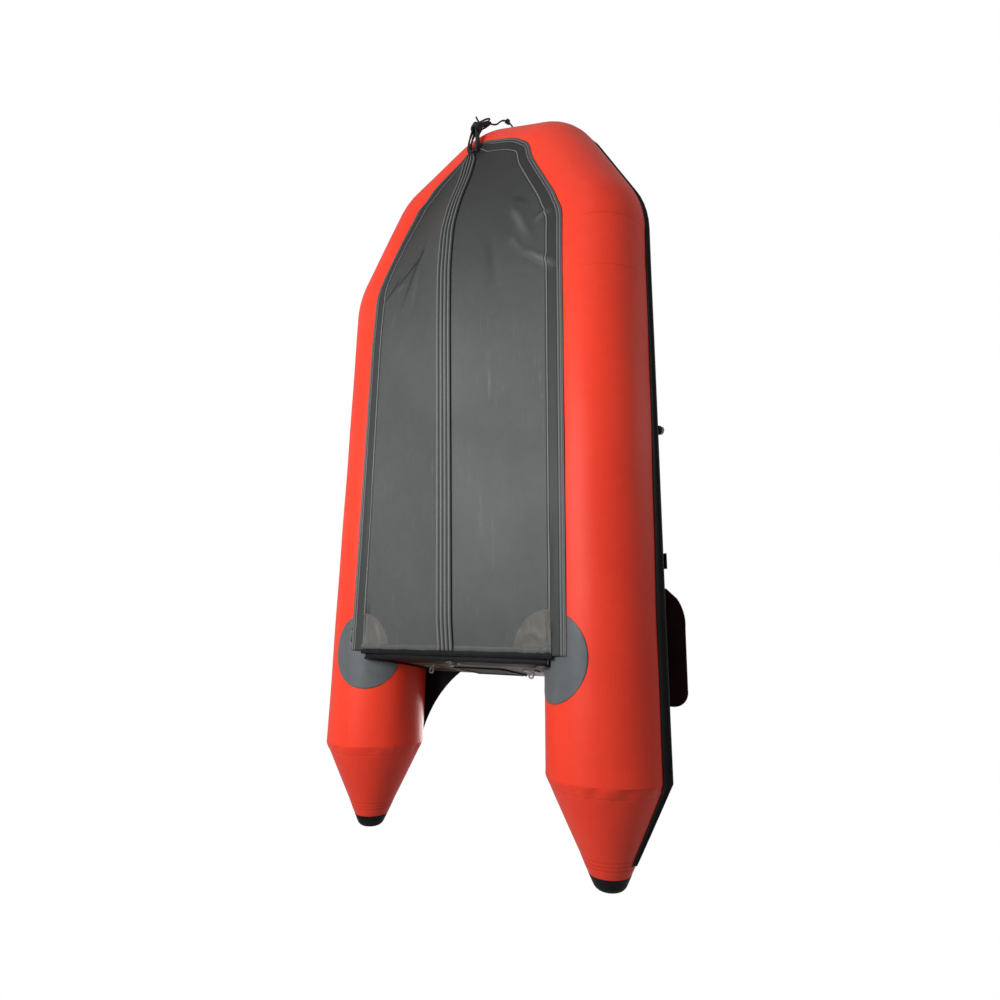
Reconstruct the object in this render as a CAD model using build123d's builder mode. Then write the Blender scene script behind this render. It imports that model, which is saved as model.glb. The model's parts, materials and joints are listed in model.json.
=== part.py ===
# Inflatable dinghy: a soft tender with a mitred bow, an air-keel V floor, plywood
# floorboards, a plywood transom, two sliding seats and two oars stowed on the tubes.
# Millimetres. X to port, Y aft, Z up. The origin is under the middle of the hull, at the
# lowest point of the keel strake.
import math
import os

from build123d import *

os.makedirs("parts", exist_ok=True)

# ---------------------------------------------------------------- driving sizes
# tubes, all on one centreline: straight side, quarter, nose
tube_radius = 210
tube_wall = 1.1
half_spacing = 569          # tube axis to the centre plane
side_length = 2088          # cone base to the first mitre
quarter_in = 219            # from the first mitre to the second
quarter_run = 425
quarter_rise = 45
nose_run = 186              # from the second mitre to the bow's point
nose_rise = 43
stern_overhang = 387        # cone base aft of the floor's stern edge
cone_length = 325
cone_tip_radius = 52
cap_length = 18
cap_wall = 3
cap_skirt = 30
seat_gap = 0.3              # between a glued piece and the curved skin under it
baffle_setback = 90
baffle_depth = 150
baffle_rim = 40
baffle_wall_tip = 30

# floor, keel and strake: stations aft of the floor's stern edge, depths under the tube axes
floor_thickness = 1.2
floor_edge_angle = 8.4      # inboard of the tube's lowest line
floor_edge_gap = 0.9
keel_profile = (
    (0, 194), (-120, 212), (-590, 238), (-1330, 281), (-1594, 291),
    (-1792, 280), (-1948, 240), (-2131, 172),
)
nose_station = -2292
nose_depth = 131
nose_half_width = 60
strake_half_width = 45
strake_base = 3
strake_ridge = 5
strake_ridges = 4
keel_tube_gap = 0.3

# rubbing strake round the outside of the tubes
rub_low_angle = -8
rub_high_angle = 16
rub_thickness = 3
rub_bead_width = 28
rub_bead_height = 10
rub_cone_share = 0.86       # how far the strake runs down the tail cone

# floorboards and their aluminium profiles
board_thickness = 12
board_top_depth = 128       # board surface under the tube axes
board_half_width = 386
board_lengths = (540, 550, 550)
board_stern_gap = 35
bow_board_length = 255
bow_board_nose_half = 225
joint_web = 3
joint_lip = 18
joint_skin = 2
stringer_width = 11
stringer_skin = 1.5
running_gap = 0.3

# transom
transom_lean = 9
transom_thickness = 28
transom_height = 398
transom_half_width = 455
transom_foot_depth = 188
transom_corner = 35
holder_thickness = 10
holder_flange = 34
holder_flange_thickness = 7
holder_low_angle = -58
holder_high_angle = 62
web_reach = 255
web_span = 215
web_thickness = 4
motor_pad_width = 260
motor_pad_height = 190
motor_pad_thickness = 6
motor_pad_drop = 22
drain_height = 42
drain_bore = 14
drain_flange = 31
drain_flange_thickness = 4
eye_to_tube_axis = 314
eye_height = 205
eye_bore = 7
eye_plate = 60
eye_plate_thickness = 5

# seats on bolt-rope rails
rail_angle = 138
rail_spare = 60
rail_base_width = 46
rail_base_thickness = 3
rail_neck = 5
rail_neck_height = 7
rail_bead = 7
slider_wall = 4
slider_length = 150
seat_width = 210
seat_thickness = 22
front_seat_station = -1180
rear_seat_station = -640
seat_corner = 40
seat_travel = 120

# oars, oarlocks and clips on the outboard top of the side tubes
oarlock_angle = 58
oarlock_station = -875
oarlock_pad_radius = 62
oarlock_pad_thickness = 4
oarlock_boss_radius = 24
oarlock_boss_height = 34
pin_radius = 6
pin_clearance = 0.05
knob_radius = 17
knob_height = 14
oar_lift = 55.5             # shaft axis above the tube's skin at the oarlock's angle
oar_inset = 38              # shaft axis inboard of the pin
shaft_radius = 15
shaft_wall = 1.5
sleeve_wall = 5
sleeve_length = 70
ring_height = 6
ring_length = 8
eye_radius = 19
eye_thickness = 16
grip_reach = 642            # pin to the grip's end
grip_length = 130
grip_radius = 17.5
blade_root_reach = 633      # pin to the blade's shoulder
blade_length = 417
blade_width = 190
blade_thickness = 7
blade_rib_radius = 19
clip_station = -354
clip_wall = 5
clip_length = 60
clip_gap = 0.6

# valves: station on the side tube, distance along the quarter tube, and round sizes
side_valve_station = -190
side_valve_angle = 118
bow_valve_along = 240
bow_valve_angle = 112
valve_flange_radius = 31
valve_flange_thickness = 4
valve_barrel_radius = 21
valve_barrel_depth = 24
valve_bore_radius = 13
valve_cap_radius = 25
valve_cap_height = 9
valve_stem_radius = 12.9
valve_stem_length = 14

# handles
handle_length = 210
handle_width = 34
handle_thickness = 8
handle_rise = 34
handle_foot = 42
stern_handle_station = 235
stern_handle_angle = 104
bow_handle_angle = 12       # forward of the nose's top
bow_handle_depth = 30

# painter
rope_radius = 4

# round corner patches under the stern
patch_radius = 155
patch_inset = 109           # patch centre inboard of the tube axis
patch_thickness = 1.2

# ---------------------------------------------------------------- the hull's frame
corner_station = stern_overhang - side_length
quarter_station = corner_station - quarter_run
nose_in = half_spacing - quarter_in
nose_angle = math.degrees(math.atan2(nose_run, nose_in))
bow_reach = (tube_radius + rub_thickness + rub_bead_height) / math.cos(math.radians(nose_angle))
front_station = quarter_station - nose_run - bow_reach
stern_station = stern_overhang + cone_length + cap_length
station_zero = -(front_station + stern_station) / 2
keel_depth = max(depth for _, depth in keel_profile)
axis_height = keel_depth + strake_base + strake_ridge


def at(across, station, height):
    """A point across, aft of the floor's stern edge, and above the side tubes' axes."""
    return Vector(across, station + station_zero, height + axis_height)


def section_plane(station):
    """An upright plane across the boat that looks towards the bow."""
    return Plane(origin=at(0, station, 0), x_dir=(1, 0, 0), z_dir=(0, -1, 0))


def keep(shape, name):
    """Label a finished piece and write its STEP file."""
    shape.label = name
    export_step(shape, f"parts/{name}.step")


def keep_pair(shape, name):
    """Keep the port piece and its mirror image on the starboard side."""
    keep(shape, f"port_{name}")
    keep(mirror(shape, about=Plane.YZ), f"starboard_{name}")


def both_sides(shape):
    """The port solid and its mirror image, as one node."""
    return Compound([shape, mirror(shape, about=Plane.YZ)])


# Each straight length of tube has a plane at its start: local z runs forward along the
# tube, local x points outboard and local y up, carried round the mitres without twist.
cone_base = at(half_spacing, stern_overhang, 0)
corner = at(half_spacing, corner_station, 0)
quarter = at(nose_in, quarter_station, quarter_rise)
nose = at(0, quarter_station - nose_run, quarter_rise + nose_rise)


def next_frame(frame, start, end):
    """The frame of the next length, turned the shortest way from the last one."""
    ahead = (end - start).normalized()
    hinge = Axis((0, 0, 0), frame.z_dir.cross(ahead))
    out = frame.x_dir.rotate(hinge, frame.z_dir.get_angle(ahead))
    return Plane(origin=start, x_dir=out, z_dir=ahead)


side_frame = Plane(origin=cone_base, x_dir=(1, 0, 0), z_dir=(0, -1, 0))
quarter_frame = next_frame(side_frame, corner, quarter)
nose_frame = next_frame(quarter_frame, quarter, nose)
tail_frame = Plane(origin=cone_base, x_dir=(1, 0, 0), z_dir=(0, 1, 0))

corner_mitre = Plane(origin=corner, z_dir=side_frame.z_dir + quarter_frame.z_dir)
quarter_mitre = Plane(origin=quarter, z_dir=quarter_frame.z_dir + nose_frame.z_dir)
nose_mitre = Plane(origin=nose, z_dir=(-1, 0, 0))
stern_cut = Plane(origin=cone_base, z_dir=(0, -1, 0))

side_run = (side_frame, side_length, stern_cut, corner_mitre)
quarter_run_frame = (quarter_frame, (quarter - corner).length, corner_mitre, quarter_mitre)
nose_run_frame = (nose_frame, (nose - quarter).length, quarter_mitre, nose_mitre)


def skin_plane(frame, along, angle, lift=0):
    """A plane on the tube's skin: z out of the skin, x forward along the tube."""
    turn = math.radians(angle)
    normal = frame.x_dir * math.cos(turn) + frame.y_dir * math.sin(turn)
    centre = frame.origin + frame.z_dir * along + normal * (tube_radius + lift)
    return Plane(origin=centre, x_dir=frame.z_dir, z_dir=normal)


def along_side(station):
    return stern_overhang - station


def tube_core(run, radius, mitred=False):
    """A solid round bar on a length's axis, to cut the underside of what is glued on."""
    frame, length, _, fore_cut = run
    with BuildPart(mode=Mode.PRIVATE) as core:
        with BuildSketch(frame.offset(-tube_radius)):
            Circle(radius)
        extrude(amount=length + 2 * tube_radius)
        if mitred:
            split(bisect_by=fore_cut, keep=Keep.BOTTOM)
    return core.part


# ---------------------------------------------------------------- tubes
def tube_panel(run, holes=()):
    """One mitred length of tube skin, with a round hole for each valve plane given."""
    frame, length, aft_cut, fore_cut = run
    with BuildPart() as panel:
        with BuildSketch(frame.offset(-tube_radius)):
            Circle(tube_radius)
            Circle(tube_radius - tube_wall, mode=Mode.SUBTRACT)
        extrude(amount=length + 2 * tube_radius)
        split(bisect_by=aft_cut, keep=Keep.TOP)
        split(bisect_by=fore_cut, keep=Keep.BOTTOM)
        for hole in holes:
            with BuildSketch(hole.offset(-4 * tube_wall)):
                Circle(valve_barrel_radius + seat_gap)
            extrude(amount=8 * tube_wall, mode=Mode.SUBTRACT)
    return panel.part


side_valve = skin_plane(side_frame, along_side(side_valve_station), side_valve_angle)
bow_valve = skin_plane(quarter_frame, bow_valve_along, bow_valve_angle)

keep(tube_panel(side_run, [side_valve]), "port_side_tube")
keep(mirror(tube_panel(side_run, [side_valve]), about=Plane.YZ), "starboard_side_tube")
keep(tube_panel(quarter_run_frame, [bow_valve]), "port_quarter_tube")
keep(mirror(tube_panel(quarter_run_frame), about=Plane.YZ), "starboard_quarter_tube")
keep_pair(tube_panel(nose_run_frame), "nose_tube")

# tail cones, rolled from one panel, open where the cap closes them
with BuildPart() as tail_cone:
    with BuildSketch(Plane(origin=cone_base, x_dir=(1, 0, 0), z_dir=(0, 0, 1))):
        with BuildLine():
            Polyline(
                (tube_radius - tube_wall, 0), (tube_radius, 0),
                (cone_tip_radius, cone_length), (cone_tip_radius - tube_wall, cone_length),
                close=True,
            )
        make_face()
    revolve(axis=Axis(cone_base, (0, 1, 0)))
keep_pair(tail_cone.part, "tail_cone")

cone_slope = (tube_radius - cone_tip_radius) / cone_length
skirt_radius = cone_tip_radius + cap_skirt * cone_slope
with BuildPart() as cone_cap:
    with BuildSketch(Plane(origin=cone_base, x_dir=(1, 0, 0), z_dir=(0, 0, 1))):
        with BuildLine():
            inner = seat_gap
            outer = seat_gap + cap_wall
            tip = cone_length + cap_length
            crown = cone_tip_radius * 0.62
            Polyline(
                (0, cone_length + inner), (cone_tip_radius + inner, cone_length + inner),
                (skirt_radius + inner, cone_length - cap_skirt),
                (skirt_radius + outer, cone_length - cap_skirt),
                (cone_tip_radius + outer, cone_length),
            )
            ThreePointArc(
                (cone_tip_radius + outer, cone_length),
                (cone_tip_radius * 0.9, cone_length + cap_length * 0.6), (crown, tip),
            )
            Polyline((crown, tip), (0, tip), (0, cone_length + inner))
        make_face()
    revolve(axis=Axis(cone_base, (0, 1, 0)))
keep_pair(cone_cap.part, "cone_cap")

# the baffle between the side chamber and the bow chamber: a cone with a glued rim
baffle_radius = tube_radius - tube_wall - seat_gap
baffle_base = at(half_spacing, corner_station + baffle_setback, 0)
with BuildPart() as air_baffle:
    with BuildSketch(Plane(origin=baffle_base, x_dir=(1, 0, 0), z_dir=(0, 0, 1))):
        with BuildLine():
            Polyline(
                (baffle_radius, 0), (baffle_radius, baffle_rim),
                (baffle_wall_tip, baffle_depth), (0, baffle_depth),
                (0, baffle_depth - tube_wall), (baffle_wall_tip, baffle_depth - tube_wall),
                (baffle_radius - tube_wall, baffle_rim - tube_wall),
                (baffle_radius - tube_wall, 0), close=True,
            )
        make_face()
    revolve(axis=Axis(baffle_base, (0, 1, 0)))
keep(both_sides(air_baffle.part), "air_baffles")


# ---------------------------------------------------------------- floor and keel
def mitre_point(frame, mitre, angle, radius):
    """Where the line at an angle on a tube's skin meets the mitre ahead of it."""
    turn = math.radians(angle)
    offset = frame.x_dir * math.cos(turn) * radius + frame.y_dir * math.sin(turn) * radius
    slide = -offset.dot(mitre.z_dir) / frame.z_dir.dot(mitre.z_dir)
    return mitre.origin + offset + frame.z_dir * slide


edge_radius = tube_radius + floor_edge_gap
edge_corner = mitre_point(side_frame, corner_mitre, -90 - floor_edge_angle, edge_radius)
edge_quarter = mitre_point(quarter_frame, quarter_mitre, -90, edge_radius)
edge_nose = mitre_point(nose_frame, nose_mitre, -90, edge_radius)


def edge_at(station):
    """The floor's edge at a station: half width, and depth under the tube axes."""
    y = station + station_zero
    if y >= edge_corner.Y:
        return edge_corner.X, axis_height - edge_corner.Z
    start, end = (edge_corner, edge_quarter) if y > edge_quarter.Y else (edge_quarter, edge_nose)
    share = (start.Y - y) / (start.Y - end.Y)
    point = start + (end - start) * share
    return point.X, axis_height - point.Z


def keel_depth_at(station):
    """The keel's depth at a station, straight between the points of its profile."""
    points = [*keel_profile, (nose_station, nose_depth)]
    for (aft, aft_depth), (fore, fore_depth) in zip(points, points[1:]):
        if station >= fore:
            share = (aft - station) / (aft - fore)
            return aft_depth + (fore_depth - aft_depth) * share
    return nose_depth


floor_stations = sorted(
    [station for station, _ in keel_profile]
    + [edge_corner.Y - station_zero, edge_quarter.Y - station_zero, nose_station],
    reverse=True,
)


def strake_half(station):
    half_width, _ = edge_at(station)
    return min(strake_half_width, half_width / 2)


with BuildPart() as floor_fabric:
    for station in floor_stations:
        half_width, edge_depth = edge_at(station)
        keel_half, depth = strake_half(station), keel_depth_at(station)
        with BuildSketch(section_plane(station)):
            with BuildLine():
                Polyline(
                    (-half_width, -edge_depth), (-keel_half, -depth), (keel_half, -depth),
                    (half_width, -edge_depth), (half_width, -edge_depth - floor_thickness),
                    (keel_half, -depth - floor_thickness),
                    (-keel_half, -depth - floor_thickness),
                    (-half_width, -edge_depth - floor_thickness), close=True,
                )
            make_face()
    loft(ruled=True)
keep(floor_fabric.part, "floor_fabric")

# the keel strake: a flat base with ridges, tapering with the floor at the bow
with BuildPart() as keel_strake:
    for station in floor_stations:
        top = -keel_depth_at(station) - floor_thickness
        half = strake_half(station)
        ridge_pitch = 2 * half / strake_ridges
        outline = [(-half, top), (-half, top - strake_base)]
        for ridge in range(strake_ridges):
            left = -half + ridge * ridge_pitch
            outline += [
                (left + 0.3 * ridge_pitch, top - strake_base - strake_ridge + 0.01),
                (left + 0.7 * ridge_pitch, top - strake_base - strake_ridge),
                (left + ridge_pitch, top - strake_base),
            ]
        outline.append((half, top))
        with BuildSketch(section_plane(station)):
            with BuildLine():
                Polyline(*outline, close=True)
            make_face()
    loft(ruled=True)
keep(keel_strake.part, "keel_strake")

# the air keel lies between the floor skin and the boards
board_under_depth = board_top_depth + board_thickness
keel_tube_stations = [
    station for station in floor_stations if -board_stern_gap > station > edge_corner.Y - 300 - station_zero
]
keel_tube_stations = [-board_stern_gap, *keel_tube_stations]


def keel_tube_circle(station, wall=0):
    """Centre height and radius of the air keel at a station."""
    top = -board_under_depth - joint_skin - keel_tube_gap
    bottom = -keel_depth_at(station) + keel_tube_gap
    return (top + bottom) / 2, (top - bottom) / 2 - wall


with BuildPart() as keel_tube:
    for wall, mode in ((0, Mode.ADD), (tube_wall, Mode.SUBTRACT)):
        for station in keel_tube_stations:
            height, radius = keel_tube_circle(station, wall)
            with BuildSketch(section_plane(station)):
                with Locations((0, height)):
                    Circle(radius)
        loft(ruled=True, mode=mode)
    for station, inward in ((keel_tube_stations[0], 1), (keel_tube_stations[-1], -1)):
        height, radius = keel_tube_circle(station)
        with BuildSketch(section_plane(station)):
            with Locations((0, height)):
                Circle(radius - tube_wall / 2)
        extrude(amount=inward * tube_wall)
keep(keel_tube.part, "keel_tube")


# ---------------------------------------------------------------- rubbing strakes
def rub_section(plane, radius, bead):
    """The strake's section on a tube of a given radius: a band with a raised bead."""
    middle = (rub_low_angle + rub_high_angle) / 2
    bead_half = math.degrees(rub_bead_width / 2 / tube_radius)
    skin, band, top = radius + seat_gap, radius + seat_gap + rub_thickness, radius + rub_thickness + bead
    with BuildSketch(plane) as section:
        with BuildLine():
            inner = CenterArc((0, 0), skin, rub_low_angle, rub_high_angle - rub_low_angle)
            low = CenterArc((0, 0), band, rub_low_angle, middle - bead_half - rub_low_angle)
            ridge = CenterArc((0, 0), top, middle - bead_half * 0.6, 1.2 * bead_half)
            high = CenterArc(
                (0, 0), band, middle + bead_half, rub_high_angle - middle - bead_half
            )
            Line(inner @ 0, low @ 0)
            Line(low @ 1, ridge @ 0)
            Line(ridge @ 1, high @ 0)
            Line(high @ 1, inner @ 1)
        make_face()
    return section.sketch


with BuildPart() as rubbing_strake:
    for frame, length, aft_cut, fore_cut in (side_run, quarter_run_frame, nose_run_frame):
        with BuildPart(mode=Mode.PRIVATE) as strake_length:
            section = rub_section(frame.offset(-tube_radius), tube_radius, rub_bead_height)
            extrude(section, amount=length + 2 * tube_radius)
            split(bisect_by=aft_cut, keep=Keep.TOP)
            split(bisect_by=fore_cut, keep=Keep.BOTTOM)
        add(strake_length.part)
    # down the tail cone the band narrows with the cone
    cone_run = rub_cone_share * cone_length
    base_section = rub_section(tail_frame, tube_radius, rub_bead_height)
    end_radius = tube_radius - cone_run * cone_slope
    end_section = rub_section(tail_frame.offset(cone_run), end_radius, rub_bead_height / 2)
    loft([base_section, end_section], ruled=True)
keep_pair(rubbing_strake.part, "rubbing_strake")


# ---------------------------------------------------------------- floorboards
board_plane = Plane(origin=at(0, 0, -board_top_depth), x_dir=(1, 0, 0), z_dir=(0, 0, 1))
board_ends = [-board_stern_gap]
for board_length in board_lengths:
    board_ends.append(board_ends[-1] - board_length - joint_web - 2 * running_gap)

for name, start, length in zip(("rear_floorboard", "middle_floorboard", "front_floorboard"),
                               board_ends, board_lengths):
    with BuildPart() as floorboard:
        with BuildSketch(board_plane):
            with Locations((0, start - length / 2)):
                Rectangle(2 * board_half_width, length)
        extrude(amount=-board_thickness)
    keep(floorboard.part, name)

bow_board_start = board_ends[-1]
with BuildPart() as bow_floorboard:
    with BuildSketch(board_plane):
        with BuildLine():
            Polyline(
                (-board_half_width + 14, bow_board_start), (board_half_width - 14, bow_board_start),
                (board_half_width - 14, bow_board_start - 0.12 * bow_board_length),
                (bow_board_nose_half, bow_board_start - bow_board_length),
                (-bow_board_nose_half, bow_board_start - bow_board_length),
                (-board_half_width + 14, bow_board_start - 0.12 * bow_board_length), close=True,
            )
        make_face()
    extrude(amount=-board_thickness)
    fillet(bow_floorboard.edges().filter_by(Axis.Z).group_by(Axis.Y)[0], radius=40)
keep(bow_floorboard.part, "bow_floorboard")

# H-section joints between the boards
with BuildPart() as floor_joints:
    for end in board_ends[1:]:
        middle = end + joint_web / 2 + running_gap
        with BuildSketch(Plane(origin=at(0, middle, -board_top_depth - board_thickness / 2),
                               x_dir=(0, 1, 0), z_dir=(1, 0, 0))):
            Rectangle(joint_web, board_thickness + 2 * joint_skin)
            for side in (-1, 1):
                with Locations((0, side * (board_thickness + joint_skin + running_gap) / 2)):
                    Rectangle(joint_web + 2 * joint_lip, joint_skin)
        extrude(amount=board_half_width - 2 * joint_lip, both=True)
keep(floor_joints.part, "floor_joints")

# U-section stringers hold the boards' outer edges in line
stringer_start = board_ends[0] - 20
stringer_length = sum(board_lengths) - 60
with BuildPart() as side_stringer:
    with BuildSketch(section_plane(stringer_start)):
        with Locations((board_half_width + running_gap + stringer_skin / 2,
                        -board_top_depth - board_thickness / 2)):
            Rectangle(stringer_skin, board_thickness + 2 * (stringer_skin + running_gap))
        for side in (-1, 1):
            with Locations((
                board_half_width + running_gap + stringer_skin - stringer_width / 2,
                -board_top_depth - board_thickness / 2
                + side * (board_thickness / 2 + running_gap + stringer_skin / 2),
            )):
                Rectangle(stringer_width, stringer_skin)
    extrude(amount=stringer_length)
keep(both_sides(side_stringer.part), "side_stringers")

# ---------------------------------------------------------------- transom
lean = math.radians(transom_lean)
transom_plane = Plane(
    origin=at(0, 0, -transom_foot_depth), x_dir=(1, 0, 0),
    z_dir=(0, -math.cos(lean), math.sin(lean)),
)
transom_aft = transom_plane.offset(-transom_thickness)

with BuildPart() as transom_board:
    with BuildSketch(transom_plane):
        with Locations((0, transom_height / 2)):
            Rectangle(2 * transom_half_width, transom_height)
    extrude(amount=-transom_thickness)
    fillet(transom_board.edges().filter_by(Axis.Y, tolerance=transom_lean + 1)
           .group_by(Axis.Z)[-1], radius=transom_corner)
    add(tube_core(side_run, tube_radius + holder_thickness + seat_gap), mode=Mode.SUBTRACT)
    add(mirror(tube_core(side_run, tube_radius + holder_thickness + seat_gap), about=Plane.YZ),
        mode=Mode.SUBTRACT)
    with BuildSketch(transom_plane):
        with Locations((0, drain_height)):
            Circle(drain_bore + seat_gap)
    extrude(amount=-transom_thickness, mode=Mode.SUBTRACT)
keep(transom_board.part, "transom_board")

# moulded holders glued on the tubes, with a slot for each end of the board
tube_in_plane = transom_foot_depth / math.cos(lean)
with BuildPart() as transom_holder:
    with BuildSketch(transom_plane.offset(holder_flange_thickness)):
        with Locations((half_spacing, tube_in_plane)):
            Circle(tube_radius + holder_flange)
            Circle(tube_radius - holder_thickness, mode=Mode.SUBTRACT)
        with BuildLine():
            reach = 2 * tube_radius
            low, high = math.radians(180 - holder_low_angle), math.radians(180 - holder_high_angle)
            hub = Vector(half_spacing, tube_in_plane)
            Polyline(
                hub, hub + Vector(math.cos(low), math.sin(low)) * reach,
                hub + Vector(-reach * 1.5, 0),
                hub + Vector(math.cos(high), math.sin(high)) * reach, close=True,
            )
        make_face(mode=Mode.INTERSECT)
    extrude(amount=-transom_thickness - 2 * holder_flange_thickness)
    add(tube_core(side_run, tube_radius + seat_gap), mode=Mode.SUBTRACT)
    with BuildPart(mode=Mode.PRIVATE) as slot:
        with BuildSketch(transom_plane.offset(seat_gap)):
            with Locations((half_spacing, tube_in_plane)):
                Circle(2 * tube_radius)
        extrude(amount=-transom_thickness - 2 * seat_gap)
        add(tube_core(side_run, tube_radius + holder_thickness), mode=Mode.SUBTRACT)
    add(slot.part, mode=Mode.SUBTRACT)
keep(both_sides(transom_holder.part), "transom_holders")

# webs between the transom's head and the tubes, on the aft side
web_height = transom_height * math.cos(lean) - transom_foot_depth - 30
web_station = math.tan(lean) * (web_height + transom_foot_depth) + transom_thickness + 1
web_tube_edge = half_spacing - math.sqrt(
    (tube_radius + seat_gap) ** 2 - (web_height - web_thickness) ** 2)
web_start = web_station + holder_flange_thickness + seat_gap
with BuildPart() as transom_web:
    with BuildSketch(Plane(origin=at(0, 0, web_height), x_dir=(1, 0, 0), z_dir=(0, 0, 1))):
        with BuildLine():
            Polyline(
                (web_tube_edge - web_span, web_station), (web_tube_edge, web_station),
                (web_tube_edge, web_start + web_reach),
            )
            ThreePointArc(
                (web_tube_edge, web_start + web_reach),
                (web_tube_edge - 0.40 * web_span, web_start + 0.42 * web_reach),
                (web_tube_edge - web_span, web_station),
            )
        make_face()
    extrude(amount=-web_thickness)
    add(transom_holder.part, mode=Mode.SUBTRACT)
keep(both_sides(transom_web.part.solids().sort_by(SortBy.VOLUME)[-1]), "transom_webs")

# motor pads on both faces of the board's head
pad_centre = transom_height - motor_pad_drop - motor_pad_height / 2
for name, plane, outward in (("inner_motor_pad", transom_plane, 1),
                             ("outer_motor_pad", transom_aft, -1)):
    with BuildPart() as motor_pad:
        with BuildSketch(plane):
            with Locations((0, pad_centre)):
                RectangleRounded(motor_pad_width, motor_pad_height, 18)
                RectangleRounded(motor_pad_width - 30, motor_pad_height - 30, 10,
                                 mode=Mode.SUBTRACT)
        extrude(amount=outward * motor_pad_thickness)
        with BuildSketch(plane):
            with Locations((0, pad_centre)):
                RectangleRounded(motor_pad_width - 20, motor_pad_height - 20, 12)
        extrude(amount=outward * motor_pad_thickness * 0.6)
    keep(motor_pad.part, name)

# drain: a flanged tube through the board, with a plug that pulls out aft
with BuildPart() as drain_body:
    with BuildSketch(transom_aft):
        with Locations((0, drain_height)):
            Circle(drain_flange)
    extrude(amount=-drain_flange_thickness)
    with BuildSketch(transom_plane.offset(drain_flange_thickness)):
        with Locations((0, drain_height)):
            Circle(drain_bore)
    extrude(amount=-transom_thickness - drain_flange_thickness - 1)
    with BuildSketch(transom_plane):
        with Locations((0, drain_height)):
            Circle(drain_flange - 8)
    extrude(amount=drain_flange_thickness)
    with BuildSketch(transom_plane.offset(drain_flange_thickness)):
        with Locations((0, drain_height)):
            Circle(drain_bore - 3)
    extrude(amount=-transom_thickness - 2 * drain_flange_thickness, mode=Mode.SUBTRACT)
keep(drain_body.part, "drain_body")

with BuildPart() as drain_plug:
    with BuildSketch(transom_aft.offset(-drain_flange_thickness - running_gap)):
        with Locations((0, drain_height)):
            Circle(drain_bore + 4)
    extrude(amount=-5)
    with BuildSketch(transom_aft.offset(-drain_flange_thickness - running_gap)):
        with Locations((0, drain_height)):
            Circle(drain_bore - 3 - pin_clearance)
    extrude(amount=16)
    with BuildSketch(transom_aft.offset(-drain_flange_thickness - running_gap - 5)):
        with Locations((0, drain_height)):
            Rectangle(22, 5)
    extrude(amount=-8)
keep(drain_plug.part, "drain_plug")

# towing eyes: plates on the aft face, each with a level ear and a hole for the bridle's pin
eye_offset = half_spacing - eye_to_tube_axis
with BuildPart() as towing_eye:
    with BuildSketch(transom_aft):
        with Locations((eye_offset, eye_height)):
            RectangleRounded(eye_plate, eye_plate * 0.7, 8)
    extrude(amount=-eye_plate_thickness)
    ear = Plane(
        origin=transom_aft.from_local_coords(Vector(eye_offset, eye_height, -eye_plate_thickness)),
        x_dir=-transom_plane.z_dir, z_dir=transom_plane.y_dir)
    with BuildSketch(ear):
        with Locations((eye_bore * 1.2, 0)):
            SlotOverall(eye_bore * 5.2, eye_bore * 3.4)
        with Locations((-eye_plate, 0)):
            Rectangle(2 * eye_plate, 2 * eye_plate, mode=Mode.SUBTRACT)
        with Locations((eye_bore * 1.9, 0)):
            Circle(eye_bore, mode=Mode.SUBTRACT)
    extrude(amount=eye_plate_thickness / 2, both=True)
keep(both_sides(towing_eye.part), "towing_eyes")


# ---------------------------------------------------------------- seats on their rails
rail_end_room = seat_travel + slider_length / 2 + rail_spare
rail_start_station = front_seat_station - rail_end_room
rail_length = rear_seat_station + rail_end_room - rail_start_station
rail_plane = skin_plane(side_frame, along_side(rail_start_station), rail_angle)
rail_section = Plane(origin=rail_plane.origin, x_dir=rail_plane.z_dir, z_dir=-side_frame.z_dir)
neck_top = rail_base_thickness + rail_neck_height
bead_height = neck_top + rail_bead / 2
with BuildPart() as seat_rail:
    with BuildSketch(rail_section):
        Rectangle(2 * rail_base_thickness, rail_base_width)
        with Locations((neck_top / 2, 0)):
            Rectangle(neck_top, rail_neck)
        with Locations((bead_height, 0)):
            Circle(rail_bead)
    extrude(amount=rail_length)
    add(tube_core(side_run, tube_radius + seat_gap), mode=Mode.SUBTRACT)
keep(both_sides(seat_rail.part), "seat_rails")


def rail_slice(station):
    """The rail's section plane at the aft end of a shoe centred on a station."""
    slide = station - rail_start_station - slider_length / 2
    return Plane(origin=rail_section.origin + Vector(0, slide, 0),
                 x_dir=rail_section.x_dir, z_dir=rail_section.z_dir)


def shoe_solid(station):
    """The C-shaped shoe round the rail's bead, still without the bead's slot."""
    with BuildPart(mode=Mode.PRIVATE) as shoe:
        with BuildSketch(rail_slice(station)):
            with Locations((bead_height, 0)):
                Circle(rail_bead + running_gap + slider_wall)
            with Locations((bead_height + rail_bead, 0)):
                Rectangle(2 * rail_bead, 2 * (rail_bead + slider_wall))
        extrude(amount=slider_length)
    return shoe.part


def shoe_slot(station):
    """The rail's bead and neck with running room, to cut out of a shoe."""
    with BuildPart(mode=Mode.PRIVATE) as slot:
        with BuildSketch(rail_slice(station)):
            with Locations((bead_height, 0)):
                Circle(rail_bead + running_gap)
            with Locations((0, 0)):
                Rectangle(2 * bead_height, rail_neck + 2 * running_gap)
        extrude(amount=slider_length)
    return slot.part


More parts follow.
